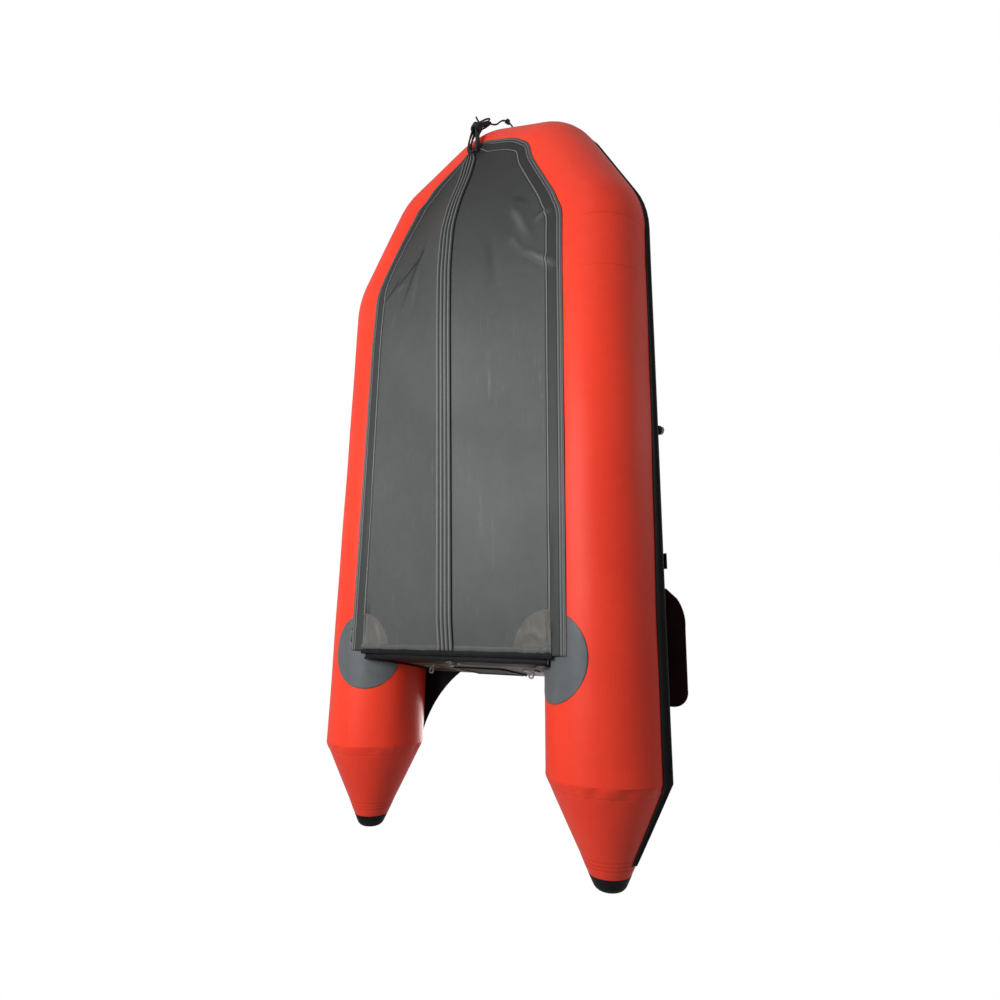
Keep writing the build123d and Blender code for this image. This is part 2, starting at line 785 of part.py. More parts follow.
bead_point = rail_plane.origin + rail_plane.z_dir * bead_height
seat_under = bead_point.Z + rail_bead + slider_wall + 4
seat_half_length = bead_point.X + 26
for name, station in (("front_seat", front_seat_station), ("rear_seat", rear_seat_station)):
    seat_base = Plane(origin=Vector(0, station + station_zero, seat_under),
                      x_dir=(1, 0, 0), z_dir=(0, 0, 1))
    with BuildPart() as seat:
        with BuildSketch(seat_base):
            RectangleRounded(2 * seat_half_length, seat_width, seat_corner)
        extrude(amount=seat_thickness)
        fillet(seat.edges().group_by(Axis.Z)[-1], radius=7)
        # a block on each shoe carries the board
        with BuildSketch(seat_base):
            with Locations((bead_point.X - 8, 0), (8 - bead_point.X, 0)):
                Rectangle(26, slider_length)
        extrude(amount=-10)
        clear_base = tube_core(side_run, tube_radius + rail_base_thickness + 2 * running_gap)
        for half in (shoe_solid(station), mirror(shoe_solid(station), about=Plane.YZ)):
            add(half)
        for cut in (clear_base, shoe_slot(station)):
            add(cut, mode=Mode.SUBTRACT)
            add(mirror(cut, about=Plane.YZ), mode=Mode.SUBTRACT)
    keep(seat.part, name)

# ---------------------------------------------------------------- oarlocks
lock_plane = skin_plane(side_frame, along_side(oarlock_station), oarlock_angle)
with BuildPart() as oarlock_base:
    with BuildSketch(lock_plane.offset(-12)):
        Circle(oarlock_pad_radius)
    extrude(amount=12 + oarlock_pad_thickness)
    with BuildSketch(lock_plane):
        Circle(oarlock_boss_radius + 6)
    extrude(amount=oarlock_boss_height, taper=10)
    with BuildSketch(lock_plane):
        Circle(pin_radius + seat_gap)
    extrude(amount=oarlock_boss_height, mode=Mode.SUBTRACT)
    add(tube_core(side_run, tube_radius + seat_gap), mode=Mode.SUBTRACT)
keep(both_sides(oarlock_base.part), "oarlock_bases")

eye_low = oar_lift - eye_thickness / 2
knob_low = oar_lift + eye_thickness / 2 + running_gap
with BuildPart() as oarlock_pin:
    with BuildSketch(lock_plane.offset(seat_gap + 3)):
        Circle(pin_radius)
    extrude(amount=knob_low + knob_height * 0.6 - seat_gap - 3)
    with BuildSketch(lock_plane.offset(knob_low)):
        RegularPolygon(knob_radius, 8)
    extrude(amount=knob_height)
    fillet(oarlock_pin.faces().sort_by(Axis(lock_plane.origin, lock_plane.z_dir))[-1].edges(),
           radius=4)
keep_pair(oarlock_pin.part, "oarlock_pin")

# ---------------------------------------------------------------- oars, lying fore and aft
lock_outboard = Vector(lock_plane.z_dir.Z, 0, -lock_plane.z_dir.X)
oar_centre = lock_plane.origin + lock_plane.z_dir * oar_lift - lock_outboard * oar_inset


def oar_plane(reach):
    """Across the oar at a distance aft of the pin: z aft, x outboard and level."""
    return Plane(origin=oar_centre + Vector(0, reach, 0), x_dir=(1, 0, 0), z_dir=(0, 1, 0))


with BuildPart() as oar_collar:
    with BuildSketch(oar_plane(-sleeve_length / 2)):
        Circle(shaft_radius + pin_clearance + sleeve_wall)
    extrude(amount=sleeve_length)
    with BuildSketch(lock_plane.offset(eye_low)):
        Circle(eye_radius)
        inward = lock_plane.to_local_coords(oar_centre)
        with Locations((0, inward.Y / 2)):
            Rectangle(2 * eye_radius * 0.9, abs(inward.Y))
    extrude(amount=eye_thickness)
    with BuildSketch(lock_plane.offset(eye_low)):
        Circle(pin_radius + pin_clearance)
    extrude(amount=eye_thickness, mode=Mode.SUBTRACT)
    with BuildSketch(oar_plane(-sleeve_length / 2)):
        Circle(shaft_radius + pin_clearance)
    extrude(amount=sleeve_length, mode=Mode.SUBTRACT)
keep_pair(oar_collar.part, "oar_collar")

shaft_start = -grip_reach + 8
shaft_end = blade_root_reach + 90
with BuildPart() as oar_shaft:
    with BuildSketch(oar_plane(shaft_start)):
        Circle(shaft_radius)
        Circle(shaft_radius - shaft_wall, mode=Mode.SUBTRACT)
    extrude(amount=shaft_end - shaft_start)
    for start in (-sleeve_length / 2 - running_gap - ring_length, sleeve_length / 2 + running_gap):
        with BuildSketch(oar_plane(start)):
            Circle(shaft_radius + ring_height)
            Circle(shaft_radius, mode=Mode.SUBTRACT)
        extrude(amount=ring_length)
keep_pair(oar_shaft.part, "oar_shaft")

with BuildPart() as oar_grip:
    with BuildSketch(Plane(origin=oar_plane(-grip_reach).origin, x_dir=(1, 0, 0), z_dir=(0, 0, 1))):
        with BuildLine():
            flare = grip_radius + 2
            Line((0, 0), (grip_radius - 4, 0))
            ThreePointArc((grip_radius - 4, 0), (flare - 1.5, 3), (flare, 10))
            ThreePointArc((flare, 10), (grip_radius - 0.5, grip_length / 2),
                          (grip_radius, grip_length - 12))
            Polyline((grip_radius, grip_length - 12), (grip_radius, grip_length),
                     (shaft_radius + seat_gap / 3, grip_length), (shaft_radius + seat_gap / 3, 7),
                     (0, 7), (0, 0))
        make_face()
    revolve(axis=Axis(oar_plane(-grip_reach).origin, (0, 1, 0)))
keep_pair(oar_grip.part, "oar_grip")

blade_plane = Plane(origin=oar_plane(blade_root_reach).origin, x_dir=(1, 0, 0), z_dir=(0, 0, 1))
with BuildPart() as oar_blade:
    half = blade_width / 2
    # half the outline from the root to the tip: share of the half width, distance along
    root, shoulder, swell, full = (0.3, -8), (0.72, 30), (0.94, 75), (1.0, 140)
    tip_start, tip_round = (0.97, blade_length - 60), (0.78, blade_length - 14)
    tip = (0.4, blade_length)

    def blade_point(share, side):
        return side * half * share[0], share[1]

    with BuildSketch(blade_plane):
        with BuildLine():
            for side in (-1, 1):
                Line(blade_point(root, side), blade_point(shoulder, side))
                ThreePointArc(*(blade_point(share, side) for share in (shoulder, swell, full)))
                Line(blade_point(full, side), blade_point(tip_start, side))
                ThreePointArc(*(blade_point(share, side) for share in (tip_start, tip_round, tip)))
            Line(blade_point(root, -1), blade_point(root, 1))
            Line(blade_point(tip, -1), blade_point(tip, 1))
        make_face()
    extrude(amount=blade_thickness / 2, both=True)
    # socket on the shaft, running out into a tapering rib
    with BuildSketch(oar_plane(blade_root_reach - 30)):
        Circle(blade_rib_radius)
    with BuildSketch(oar_plane(blade_root_reach + 110)):
        Circle(blade_rib_radius)
    loft()
    with BuildSketch(oar_plane(blade_root_reach + 110)):
        Circle(blade_rib_radius)
    with BuildSketch(oar_plane(blade_root_reach + blade_length - 70)):
        Circle(blade_thickness * 0.6)
    loft()
    with BuildSketch(oar_plane(blade_root_reach - 40)):
        Circle(shaft_radius + seat_gap / 3)
    extrude(amount=shaft_end - blade_root_reach + 40 + seat_gap, mode=Mode.SUBTRACT)
keep_pair(oar_blade.part, "oar_blade")

# the stern clip is a half-open cradle, so the oar swings out of it
with BuildPart() as oar_clip:
    clip_plane = skin_plane(side_frame, along_side(clip_station), oarlock_angle)
    inner = shaft_radius + clip_gap
    clip_lift = clip_plane.to_local_coords(oar_plane(clip_station - oarlock_station).origin)
    clip_section = Plane(origin=clip_plane.origin - clip_plane.x_dir * clip_length / 2,
                         x_dir=clip_plane.z_dir, z_dir=clip_plane.x_dir)
    hub = clip_section.to_local_coords(oar_plane(clip_station - oarlock_station).origin)
    out = -math.copysign(1, hub.Y)
    with BuildSketch(clip_section):
        with Locations((hub.X, hub.Y)):
            Circle(inner + clip_wall)
            with Locations((0, out * inner)):
                Rectangle(2 * (inner + clip_wall), 2 * inner)
            Circle(inner, mode=Mode.SUBTRACT)
            with Locations((0, out * (2 * inner))):
                Rectangle(2 * inner, 4 * inner, mode=Mode.SUBTRACT)
        with Locations((hub.X / 2 - inner / 2 - clip_wall / 2, hub.Y)):
            Rectangle(hub.X - inner, 26)
        with Locations((0, hub.Y)):
            Rectangle(2 * oarlock_pad_thickness, 70)
    extrude(amount=clip_length)
    add(tube_core(side_run, tube_radius + seat_gap), mode=Mode.SUBTRACT)
keep(both_sides(oar_clip.part), "oar_clips")


# ---------------------------------------------------------------- valves
def valve_body(plane, run):
    """A flanged barrel glued into the tube, bored for the cap's stem."""
    with BuildPart() as body:
        with BuildSketch(plane.offset(-4)):
            Circle(valve_flange_radius)
        extrude(amount=4 + valve_flange_thickness)
        add(tube_core(run, tube_radius + seat_gap), mode=Mode.SUBTRACT)
        with BuildSketch(plane.offset(-valve_barrel_depth)):
            Circle(valve_barrel_radius)
        extrude(amount=valve_barrel_depth + valve_flange_thickness)
        with BuildSketch(plane.offset(valve_flange_thickness)):
            Circle(valve_bore_radius)
        extrude(amount=-valve_barrel_depth - valve_flange_thickness, mode=Mode.SUBTRACT)
        with BuildSketch(plane.offset(-valve_barrel_depth)):
            Circle(valve_barrel_radius)
        extrude(amount=2)
    return body.part


def valve_cap(plane):
    """A screw cap with a stem in the barrel and finger notches round its rim."""
    low = valve_flange_thickness + running_gap
    with BuildPart() as cap:
        with BuildSketch(plane.offset(low)):
            Circle(valve_cap_radius)
            with PolarLocations(valve_cap_radius + 2.5, 6):
                Circle(5, mode=Mode.SUBTRACT)
        extrude(amount=valve_cap_height)
        with BuildSketch(plane.offset(low)):
            Circle(valve_stem_radius)
        extrude(amount=-valve_stem_length)
    return cap.part


keep_pair(valve_body(side_valve, side_run), "valve_body")
keep_pair(valve_cap(side_valve), "valve_cap")
keep(valve_body(bow_valve, quarter_run_frame), "bow_valve_body")
keep(valve_cap(bow_valve), "bow_valve_cap")


# ---------------------------------------------------------------- handles
def grab_handle(plane, foot_depth, cores):
    """A moulded handle that bows up between two feet glued on the tube."""
    inner_end = handle_length / 2 - handle_foot
    top = handle_rise + handle_thickness
    with BuildPart() as handle:
        with BuildSketch(Plane(origin=plane.origin, x_dir=plane.x_dir, z_dir=-plane.y_dir)):
            with BuildLine():
                Polyline((-inner_end, handle_thickness), (-handle_length / 2, handle_thickness / 2),
                         (-handle_length / 2, -foot_depth), (-inner_end, -foot_depth),
                         (-inner_end + 6, 0))
                Spline((-inner_end + 6, 0), (0, handle_rise), (inner_end - 6, 0),
                       tangents=((1, 0.9), (1, -0.9)))
                Polyline((inner_end - 6, 0), (inner_end, -foot_depth),
                         (handle_length / 2, -foot_depth),
                         (handle_length / 2, handle_thickness / 2), (inner_end, handle_thickness))
                Spline((inner_end, handle_thickness), (0, top), (-inner_end, handle_thickness),
                       tangents=((-1, 0.7), (-1, -0.7)))
            make_face()
        extrude(amount=handle_width / 2, both=True)
        for core in cores:
            add(core, mode=Mode.SUBTRACT)
    return handle.part


stern_handle = skin_plane(side_frame, along_side(stern_handle_station), stern_handle_angle)
side_core = tube_core(side_run, tube_radius + seat_gap)
keep_pair(grab_handle(stern_handle, handle_thickness, [side_core]), "stern_handle")

# the bow handle lies across the point of the nose, a little forward of its top
forward = math.radians(bow_handle_angle)
bow_top = nose + Vector(
    0, -tube_radius / math.cos(math.radians(nose_angle)) * math.sin(forward),
    tube_radius * math.cos(forward))
bow_plane = Plane(origin=bow_top, x_dir=(1, 0, 0), z_dir=(0, -math.sin(forward), math.cos(forward)))
nose_core = tube_core(nose_run_frame, tube_radius + seat_gap, mitred=True)
bow_handle = grab_handle(bow_plane, bow_handle_depth, [nose_core, mirror(nose_core, about=Plane.YZ)])
keep(bow_handle, "bow_handle")

# ---------------------------------------------------------------- corner patches
with BuildPart() as corner_patch:
    with BuildSketch(Plane(origin=at(half_spacing - patch_inset, 0, -1.5 * tube_radius),
                           x_dir=(1, 0, 0), z_dir=(0, 0, 1))):
        Circle(patch_radius)
        with Locations((patch_inset - tube_radius * math.sin(math.radians(floor_edge_angle)) + 1
                        - patch_radius, 0)):
            Rectangle(2 * patch_radius, 2 * patch_radius, mode=Mode.SUBTRACT)
    extrude(amount=1.5 * tube_radius)
    add(tube_core(side_run, tube_radius + seat_gap + patch_thickness), mode=Mode.INTERSECT)
    add(side_core, mode=Mode.SUBTRACT)
keep(both_sides(corner_patch.part), "corner_patches")

# ---------------------------------------------------------------- painter and its hank
# the painter runs from the bow handle over the nose; the rest is tied up in a hank
painter_route = [
    (0, -2387, 330), (2, -2440, 333), (12, -2520, 300), (30, -2588, 238),
    (43, -2630, 162), (44, -2640, 96), (32, -2618, 55), (13, -2585, 38),
]
painter_points = [at(*point) for point in painter_route]
turns = [
    (b - a).get_angle(c - b)
    for a, b, c in zip(painter_points, painter_points[1:], painter_points[2:])
]
runs = [(b - a).length for a, b in zip(painter_points, painter_points[1:])]
radii = [
    0.45 * min(before, after) / math.tan(math.radians(turn / 2))
    for before, after, turn in zip(runs, runs[1:], turns)
]
print("painter radii", [round(radius) for radius in radii], "length", round(sum(runs)))

with BuildPart() as painter_rope:
    with BuildLine() as painter_line:
        FilletPolyline(*painter_points, radius=radii)
    with BuildSketch(Plane(origin=painter_points[0], z_dir=painter_points[1] - painter_points[0])):
        Circle(rope_radius)
    sweep()
keep(painter_rope.part, "painter_rope")
painter_end = Plane(origin=painter_points[-1], x_dir=(1, 0, 0),
                    z_dir=painter_points[-1] - painter_points[-2])

# the hank lies round the nose, under its point: degrees from the nose's lowest line,
# half width, half depth and lift above the skin, with a waist where it is tied
hank_sections = ((72, 22, 13, 17), (54, 29, 16, 20), (36, 23, 20, 24), (18, 29, 15, 19), (-2, 13, 7, 12))
nose_depth_radius = tube_radius / math.cos(math.radians(nose_angle))
with BuildPart() as painter_hank:
    with BuildSketch(painter_end):
        Ellipse(rope_radius, rope_radius)
    for angle, half_width, half_depth, lift in hank_sections:
        turn = math.radians(angle)
        centre = nose + Vector(0, -(nose_depth_radius + lift) * math.sin(turn),
                               -(tube_radius + lift) * math.cos(turn))
        along = Vector(0, math.cos(turn), -math.sin(turn))
        with BuildSketch(Plane(origin=centre, x_dir=(1, 0, 0), z_dir=along)):
            Ellipse(half_width, half_depth)
    loft()
keep(painter_hank.part, "painter_hank")
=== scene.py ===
import json
import math

import bmesh
import bpy
import numpy as np
from mathutils import Matrix, Vector


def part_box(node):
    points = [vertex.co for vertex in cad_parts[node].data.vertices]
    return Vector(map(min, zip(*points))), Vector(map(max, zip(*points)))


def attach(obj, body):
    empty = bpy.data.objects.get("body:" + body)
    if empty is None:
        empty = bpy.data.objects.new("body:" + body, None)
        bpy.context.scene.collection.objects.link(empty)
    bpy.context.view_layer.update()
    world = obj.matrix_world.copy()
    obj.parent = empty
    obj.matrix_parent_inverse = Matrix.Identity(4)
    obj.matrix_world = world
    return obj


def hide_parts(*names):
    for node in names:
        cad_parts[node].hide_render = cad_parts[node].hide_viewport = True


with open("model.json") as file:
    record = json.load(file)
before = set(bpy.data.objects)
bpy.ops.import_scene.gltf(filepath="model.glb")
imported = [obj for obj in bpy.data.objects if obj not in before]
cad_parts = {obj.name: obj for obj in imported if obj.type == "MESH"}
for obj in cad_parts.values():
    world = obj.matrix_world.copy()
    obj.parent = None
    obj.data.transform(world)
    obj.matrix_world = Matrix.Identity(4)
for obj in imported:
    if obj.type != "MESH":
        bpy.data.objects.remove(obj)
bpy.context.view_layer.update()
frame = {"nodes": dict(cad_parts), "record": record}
print("frame loaded:", len(frame["nodes"]), "nodes")

# the hull's lines, in metres: the side tube's own box gives its place and its radius
tubeLow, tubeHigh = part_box("port_side_tube")
hull = {
    "radius": (tubeHigh.x - tubeLow.x) / 2,
    "spacing": (tubeHigh.x + tubeLow.x) / 2,
    "height": (tubeHigh.z + tubeLow.z) / 2,
    "coneBase": tubeHigh.y,
    "sternEdge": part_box("floor_fabric")[1].y,
    "sideRun": 2.088,  # from the cone base to the first corner
    "quarterIn": 0.219,
    "quarterRun": 0.425,
    "quarterRise": 0.045,
    "noseRun": 0.186,
    "noseRise": 0.043,
    "cornerRound": 0.20,
    "quarterRound": 0.11,
    "noseRound": 0.12,
}
radius = hull["radius"]
sides = (("port", 1), ("starboard", -1))
cornerY = round(hull["coneBase"] - hull["sideRun"], 5)  # a box is only exact to some micrometres
quarterX = hull["spacing"] - hull["quarterIn"]
quarterY = cornerY - hull["quarterRun"]
quarterZ = hull["height"] + hull["quarterRise"]
nosePoint = (0.0, quarterY - hull["noseRun"], quarterZ + hull["noseRise"])


def unit(v):
    v = np.asarray(v, float)
    return v / np.linalg.norm(v, axis=-1, keepdims=True)


def smooth(x, low, high):
    t = np.clip((np.asarray(x, float) - low) / (high - low), 0, 1)
    return t * t * (3 - 2 * t)


def bump(x, centre, width):
    return np.exp(-(((np.asarray(x, float) - centre) / width) ** 2))


def fromTable(x, table):  # straight lines between the table's pairs
    return np.interp(x, [p[0] for p in table], [p[1] for p in table])


def roundedLine(points, radii, step=0.001):
    bends = [np.array(points[0], float)]
    for i in range(1, len(points) - 1):
        before, here, after = (np.array(p, float) for p in points[i - 1:i + 2])
        arriving, leaving = unit(here - before), unit(after - here)
        turn = math.acos(np.clip(arriving @ leaving, -1, 1))
        side = unit(leaving - arriving * (arriving @ leaving))
        start = here - arriving * radii[i - 1] * math.tan(turn / 2)
        count = max(4, int(radii[i - 1] * turn / step))
        for k in range(count + 1):
            a = turn * k / count
            bends.append(start + radii[i - 1] * (arriving * math.sin(a) + side * (1 - math.cos(a))))
    bends.append(np.array(points[-1], float))
    line = [bends[0]]
    for a, b in zip(bends, bends[1:]):
        n = max(1, int(np.linalg.norm(b - a) / step))
        line += [a + (b - a) * (k + 1) / n for k in range(n)]
    line = np.array(line)
    s = np.concatenate([[0], np.cumsum(np.linalg.norm(np.diff(line, axis=0), axis=1))])
    return s, line


def hullCorners(sign):
    return [
        (sign * hull["spacing"], hull["coneBase"], hull["height"]),
        (sign * hull["spacing"], cornerY, hull["height"]),
        (sign * quarterX, quarterY, quarterZ),
    ]


# the tubes' centre line runs from the port cone round the bow to the starboard cone
ringS, ringLine = roundedLine(
    hullCorners(1) + [nosePoint] + hullCorners(-1)[::-1],
    [hull["cornerRound"], hull["quarterRound"], hull["noseRound"],
     hull["quarterRound"], hull["cornerRound"]],
)
ringLength = float(ringS[-1])
half = ringLength / 2
ringTangent = unit(np.gradient(ringLine, axis=0))


def axisAt(s):  # s is the distance run along the centre line
    s = np.asarray(s, float)
    centre = np.stack([np.interp(s, ringS, ringLine[:, i]) for i in range(3)], -1)
    ahead = unit(np.stack([np.interp(s, ringS, ringTangent[:, i]) for i in range(3)], -1))
    out = unit(np.cross(np.array([0, 0, 1.0]), ahead))
    up = np.cross(ahead, out)
    return centre, ahead, out, up


def skin(s, angle, lift=0.0):  # a point on the tube, with 0 degrees outboard and -90 at its foot
    s, angle, lift = np.broadcast_arrays(*(np.asarray(x, float) for x in (s, angle, lift)))
    centre, ahead, out, up = axisAt(s)
    a = np.radians(angle)[..., None]
    return centre + (out * np.cos(a) + up * np.sin(a)) * (radius + lift)[..., None]


def sAtY(y):
    n = len(ringS) // 2
    return float(np.interp(-y, -ringLine[:n, 1], ringS[:n]))


cornerS = sAtY(cornerY)
sternS = sAtY(hull["sternEdge"])
quarterS = sAtY(quarterY)


# meshes from grids of points
def linked(name, data):
    obj = bpy.data.objects.new(name, data)
    bpy.context.scene.collection.objects.link(obj)
    return obj


def smoothFaces(mesh):
    mesh.polygons.foreach_set("use_smooth", [True] * len(mesh.polygons))


def gridMesh(name, points, closed=False, flip=False, uv=None, values=None):
    n, m, _ = points.shape
    cols = m if closed else m - 1
    i, j = np.meshgrid(np.arange(n - 1), np.arange(cols), indexing="ij")
    k = (j + 1) % m
    quads = np.stack([i * m + j, i * m + k, (i + 1) * m + k, (i + 1) * m + j], -1).reshape(-1, 4)
    if flip:
        quads = quads[:, ::-1]
    mesh = bpy.data.meshes.new(name)
    mesh.from_pydata(points.reshape(-1, 3).tolist(), [], quads.tolist())
    smoothFaces(mesh)
    if uv is not None:
        layer = mesh.uv_layers.new(name="skin")
        u = np.broadcast_to(uv[0][:, None], (n, m)).ravel()
        v = np.broadcast_to(uv[1][None, :], (n, m)).ravel() if uv[1].ndim == 1 else uv[1].ravel()
        loops = np.zeros(len(mesh.loops), int)
        mesh.loops.foreach_get("vertex_index", loops)
        layer.data.foreach_set("uv", np.stack([u[loops], v[loops]], -1).astype(np.float32).ravel())
    for key, value in (values or {}).items():
        layer = mesh.attributes.new(key, "FLOAT", "POINT")
        value = np.broadcast_to(value, (n, m))
        layer.data.foreach_set("value", np.ascontiguousarray(value, np.float32).ravel())
    return linked(name, mesh)


def closeEnds(obj):  # caps the open ends of a closed section
    bm = bmesh.new()
    bm.from_mesh(obj.data)
    bmesh.ops.holes_fill(bm, edges=[e for e in bm.edges if e.is_boundary])
    bmesh.ops.recalc_face_normals(bm, faces=bm.faces)
    bm.to_mesh(obj.data)
    bm.free()
    return obj


def plainMesh(obj):  # the object as its modifiers leave it
    return bpy.data.meshes.new_from_object(obj.evaluated_get(bpy.context.evaluated_depsgraph_get()))


def facing(obj, axis, sign):  # turns an open sheet so that its faces look along the axis
    if sign * np.mean([p.normal[axis] for p in obj.data.polygons]) < 0:
        obj.data.flip_normals()


def shell(obj, thickness):
    mod = obj.modifiers.new("thickness", "SOLIDIFY")
    mod.thickness = thickness
    mod.offset = -1.0


def dress(obj, material, replaces=()):  # every piece made here rides on the hull
    obj.data.materials.clear()
    obj.data.materials.append(material)
    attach(obj, "hull")
    if replaces:
        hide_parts(*replaces)
    return obj


# a socket's value, with its maths written as plain expressions
class Val:
    def __init__(self, tree, socket):
        self.tree, self.socket = tree, socket

    def maths(self, operation, a, b=None, clamp=False):
        node = self.tree.nodes.new("ShaderNodeMath")
        node.operation, node.use_clamp = operation, clamp
        for k, v in enumerate((a, b)):
            if isinstance(v, Val):
                self.tree.links.new(v.socket, node.inputs[k])
            elif v is not None:
                node.inputs[k].default_value = v
        return Val(self.tree, node.outputs[0])

    def __add__(self, o): return self.maths("ADD", self, o)
    def __radd__(self, o): return self.maths("ADD", o, self)
    def __sub__(self, o): return self.maths("SUBTRACT", self, o)
    def __rsub__(self, o): return self.maths("SUBTRACT", o, self)
    def __mul__(self, o): return self.maths("MULTIPLY", self, o)
    def __rmul__(self, o): return self.maths("MULTIPLY", o, self)
    def __truediv__(self, o): return self.maths("DIVIDE", self, o)
    def __pow__(self, o): return self.maths("POWER", self, o)
    def sine(self): return self.maths("SINE", self)
    def size(self): return self.maths("ABSOLUTE", self)
    def clamp(self): return self.maths("ADD", self, 0.0, clamp=True)


class Nodes:  # what finishes and geometry trees have in common
    def node(self, kind, settings=None, out=0, **inputs):
        node = self.tree.nodes.new(kind)
        for key, value in (settings or {}).items():
            setattr(node, key, value)
        for key, value in inputs.items():
            numbered = key[0] == "i" and key[1:].isdigit()
            self.feed(node.inputs[int(key[1:])] if numbered else node.inputs[key.replace("_", " ")], value)
        return Val(self.tree, node.outputs[out])

    def feed(self, socket, value):
        if isinstance(value, Val):
            self.tree.links.new(value.socket, socket)
        elif isinstance(value, tuple) and len(value) < len(socket.default_value):
            socket.default_value = (*value, 1)
        else:
            socket.default_value = value


class Finish(Nodes):
    def __init__(self, name):
        self.material = bpy.data.materials.new(name)
        self.material.use_nodes = True
        self.tree = self.material.node_tree
        self.shader = self.tree.nodes["Principled BSDF"]

    def where(self, stretch=(1, 1, 1), uv=False):
        if uv:
            source = self.node("ShaderNodeUVMap", {"uv_map": "skin"})
        else:
            source = self.node("ShaderNodeTexCoord", out=3)
        return self.node("ShaderNodeMapping", Vector=source, Scale=stretch)

    def noise(self, where, scale, detail=3.0, rough=0.55, low=0.35, high=0.65):
        raw = self.node("ShaderNodeTexNoise", Vector=where, Scale=scale, Detail=detail, Roughness=rough)
        return self.node("ShaderNodeMapRange", i0=raw, i1=low, i2=high)

    def between(self, value, low, high):
        return self.node("ShaderNodeMapRange", {"interpolation_type": "SMOOTHSTEP"},
                         i0=value, i1=low, i2=high)

    def axis(self, where, which):
        return self.node("ShaderNodeSeparateXYZ", out=which, i0=where)

    def mix(self, factor, a, b):
        return self.node("ShaderNodeMix", {"data_type": "RGBA"}, out=2, i0=factor, i6=a, i7=b)

    def value(self, name):
        return self.node("ShaderNodeAttribute", {"attribute_name": name}, out=2)

    def relief(self, height, distance, strength, under=None):
        below = {"Normal": under} if under else {}
        return self.node("ShaderNodeBump", Strength=strength, Distance=distance, Height=height, **below)

    def done(self, **inputs):
        for key, value in inputs.items():
            self.feed(self.shader.inputs[key.replace("_", " ")], value)
        return self.material


# coated cloth: the red tube cloth and the grey floor cloth share one recipe
cloth = {
    "threadPitch": 0.0013,
    "threadDepth": 0.00006,
    "red": (0.800, 0.046, 0.019),
    "redShade": (0.700, 0.036, 0.015),
    "redScuff": (0.86, 0.26, 0.20),
    "grey": (0.079, 0.083, 0.083),
    "greyShade": (0.061, 0.065, 0.064),
    "greyTapeAndBowShade": (0.019, 0.020, 0.018),
    "greyScuffAndHighlight": (0.215, 0.225, 0.222),
    "greyGroove": (0.010, 0.011, 0.011),
    "patch": (0.102, 0.112, 0.120),
    "patchShade": (0.072, 0.080, 0.086),
    # a lighter, warmer copy of the patch colours for the patch's floor half: painted sheen
    "dustyPatch": (0.118, 0.114, 0.104),
    "dustyPatchShade": (0.078, 0.076, 0.070),
    "foot": (0.085, 0.090, 0.090),
    "footShade": (0.060, 0.064, 0.064),
    "footScuff": (0.42, 0.43, 0.43),
}


def clothBase(f, colour, scuff, scuffAmount):
    place = f.where()
    broad = f.noise(place, 2.2, 4.0)
    mottled = f.noise(place, 26.0, 5.0, 0.6)
    streaks = f.noise(f.where((55.0, 2.2, 55.0)), 1.0, 3.0, 0.6, 0.60, 0.72)
    dust = f.noise(place, 7.0, 6.0, 0.7, 0.50, 0.78)
    scratch = f.noise(f.where((190.0, 9.0, 190.0)), 1.0, 2.0, 0.5, 0.68, 0.72)
    rub = ((streaks * dust + scratch * dust * 1.4) * scuffAmount).clamp()
    base = f.mix(broad * 0.7 + mottled * 0.3, cloth[colour + "Shade"], cloth[colour])
    return f.mix(rub, base, cloth[scuff]), broad, rub


def clothFeel(f, waves):
    uv = f.where(uv=True)
    turns = 2 * math.pi / cloth["threadPitch"]
    threads = (f.axis(uv, 0) * turns).sine() * (f.axis(uv, 1) * turns).sine()
    fine = f.relief(threads, cloth["threadDepth"], 0.6)
    return f.relief(f.noise(f.where(), 9.0, 3.0, 0.5, 0.2, 0.8), waves, 0.5, under=fine)


def coatedCloth(name, colour, scuff, scuffAmount, roughness, waves=0.0014):
    f = Finish(name)
    base, broad, rub = clothBase(f, colour, scuff, scuffAmount)
    # painted shade: the cloth turns darker in its creases along seam edges and band lines
    base = f.mix(f.value("crease") * 0.45, base, tuple(c * 0.35 for c in cloth[colour + "Shade"]))
    return f.done(Base_Color=base, Roughness=roughness - 0.05 * broad + 0.16 * rub,
                  Normal=clothFeel(f, waves), Specular_IOR_Level=0.34)


def floorCloth():
    f = Finish("floorCloth")
    base, broad, rub = clothBase(f, "grey", "greyScuffAndHighlight", 0.40)
    along = f.axis(f.where(), 1)
    fore = 1 - f.between(along, -1.30, -0.25)  # painted shade: the cloth turns darker towards the bow, where less light falls, and its scuffs fade there with it
    base = f.mix(fore * 0.88, base, cloth["greyTapeAndBowShade"])
    base = f.mix(f.value("tape") * 0.62, base, cloth["greyTapeAndBowShade"])
    # painted highlight on raised ridges and fold crests, and painted shade in grooves and fold valleys; the
    # light grey also serves the scuffs
    base = f.mix((f.value("ridge") * 0.70).clamp(), base, cloth["greyScuffAndHighlight"])
    base = f.mix((f.value("groove") * 0.90).clamp(), base, cloth["greyGroove"])
    return f.done(Base_Color=base, Roughness=0.46 - 0.06 * broad + 0.16 * rub,
                  Normal=clothFeel(f, 0.0014), Specular_IOR_Level=0.26)


redCloth = coatedCloth("tubeCloth", "red", "redScuff", 0.08, 0.42, 0.0010)
floorFinish = floorCloth()
# painted sheen: the patch's half on the floor takes a lighter, warmer copy of the patch cloth
patchOnFloor = coatedCloth("patchOnFloor", "dustyPatch", "greyScuffAndHighlight", 0.6, 0.44)
patchCloth = coatedCloth("patchCloth", "patch", "greyScuffAndHighlight", 0.5, 0.36)
footCloth = coatedCloth("footCloth", "foot", "footScuff", 0.6, 0.42)


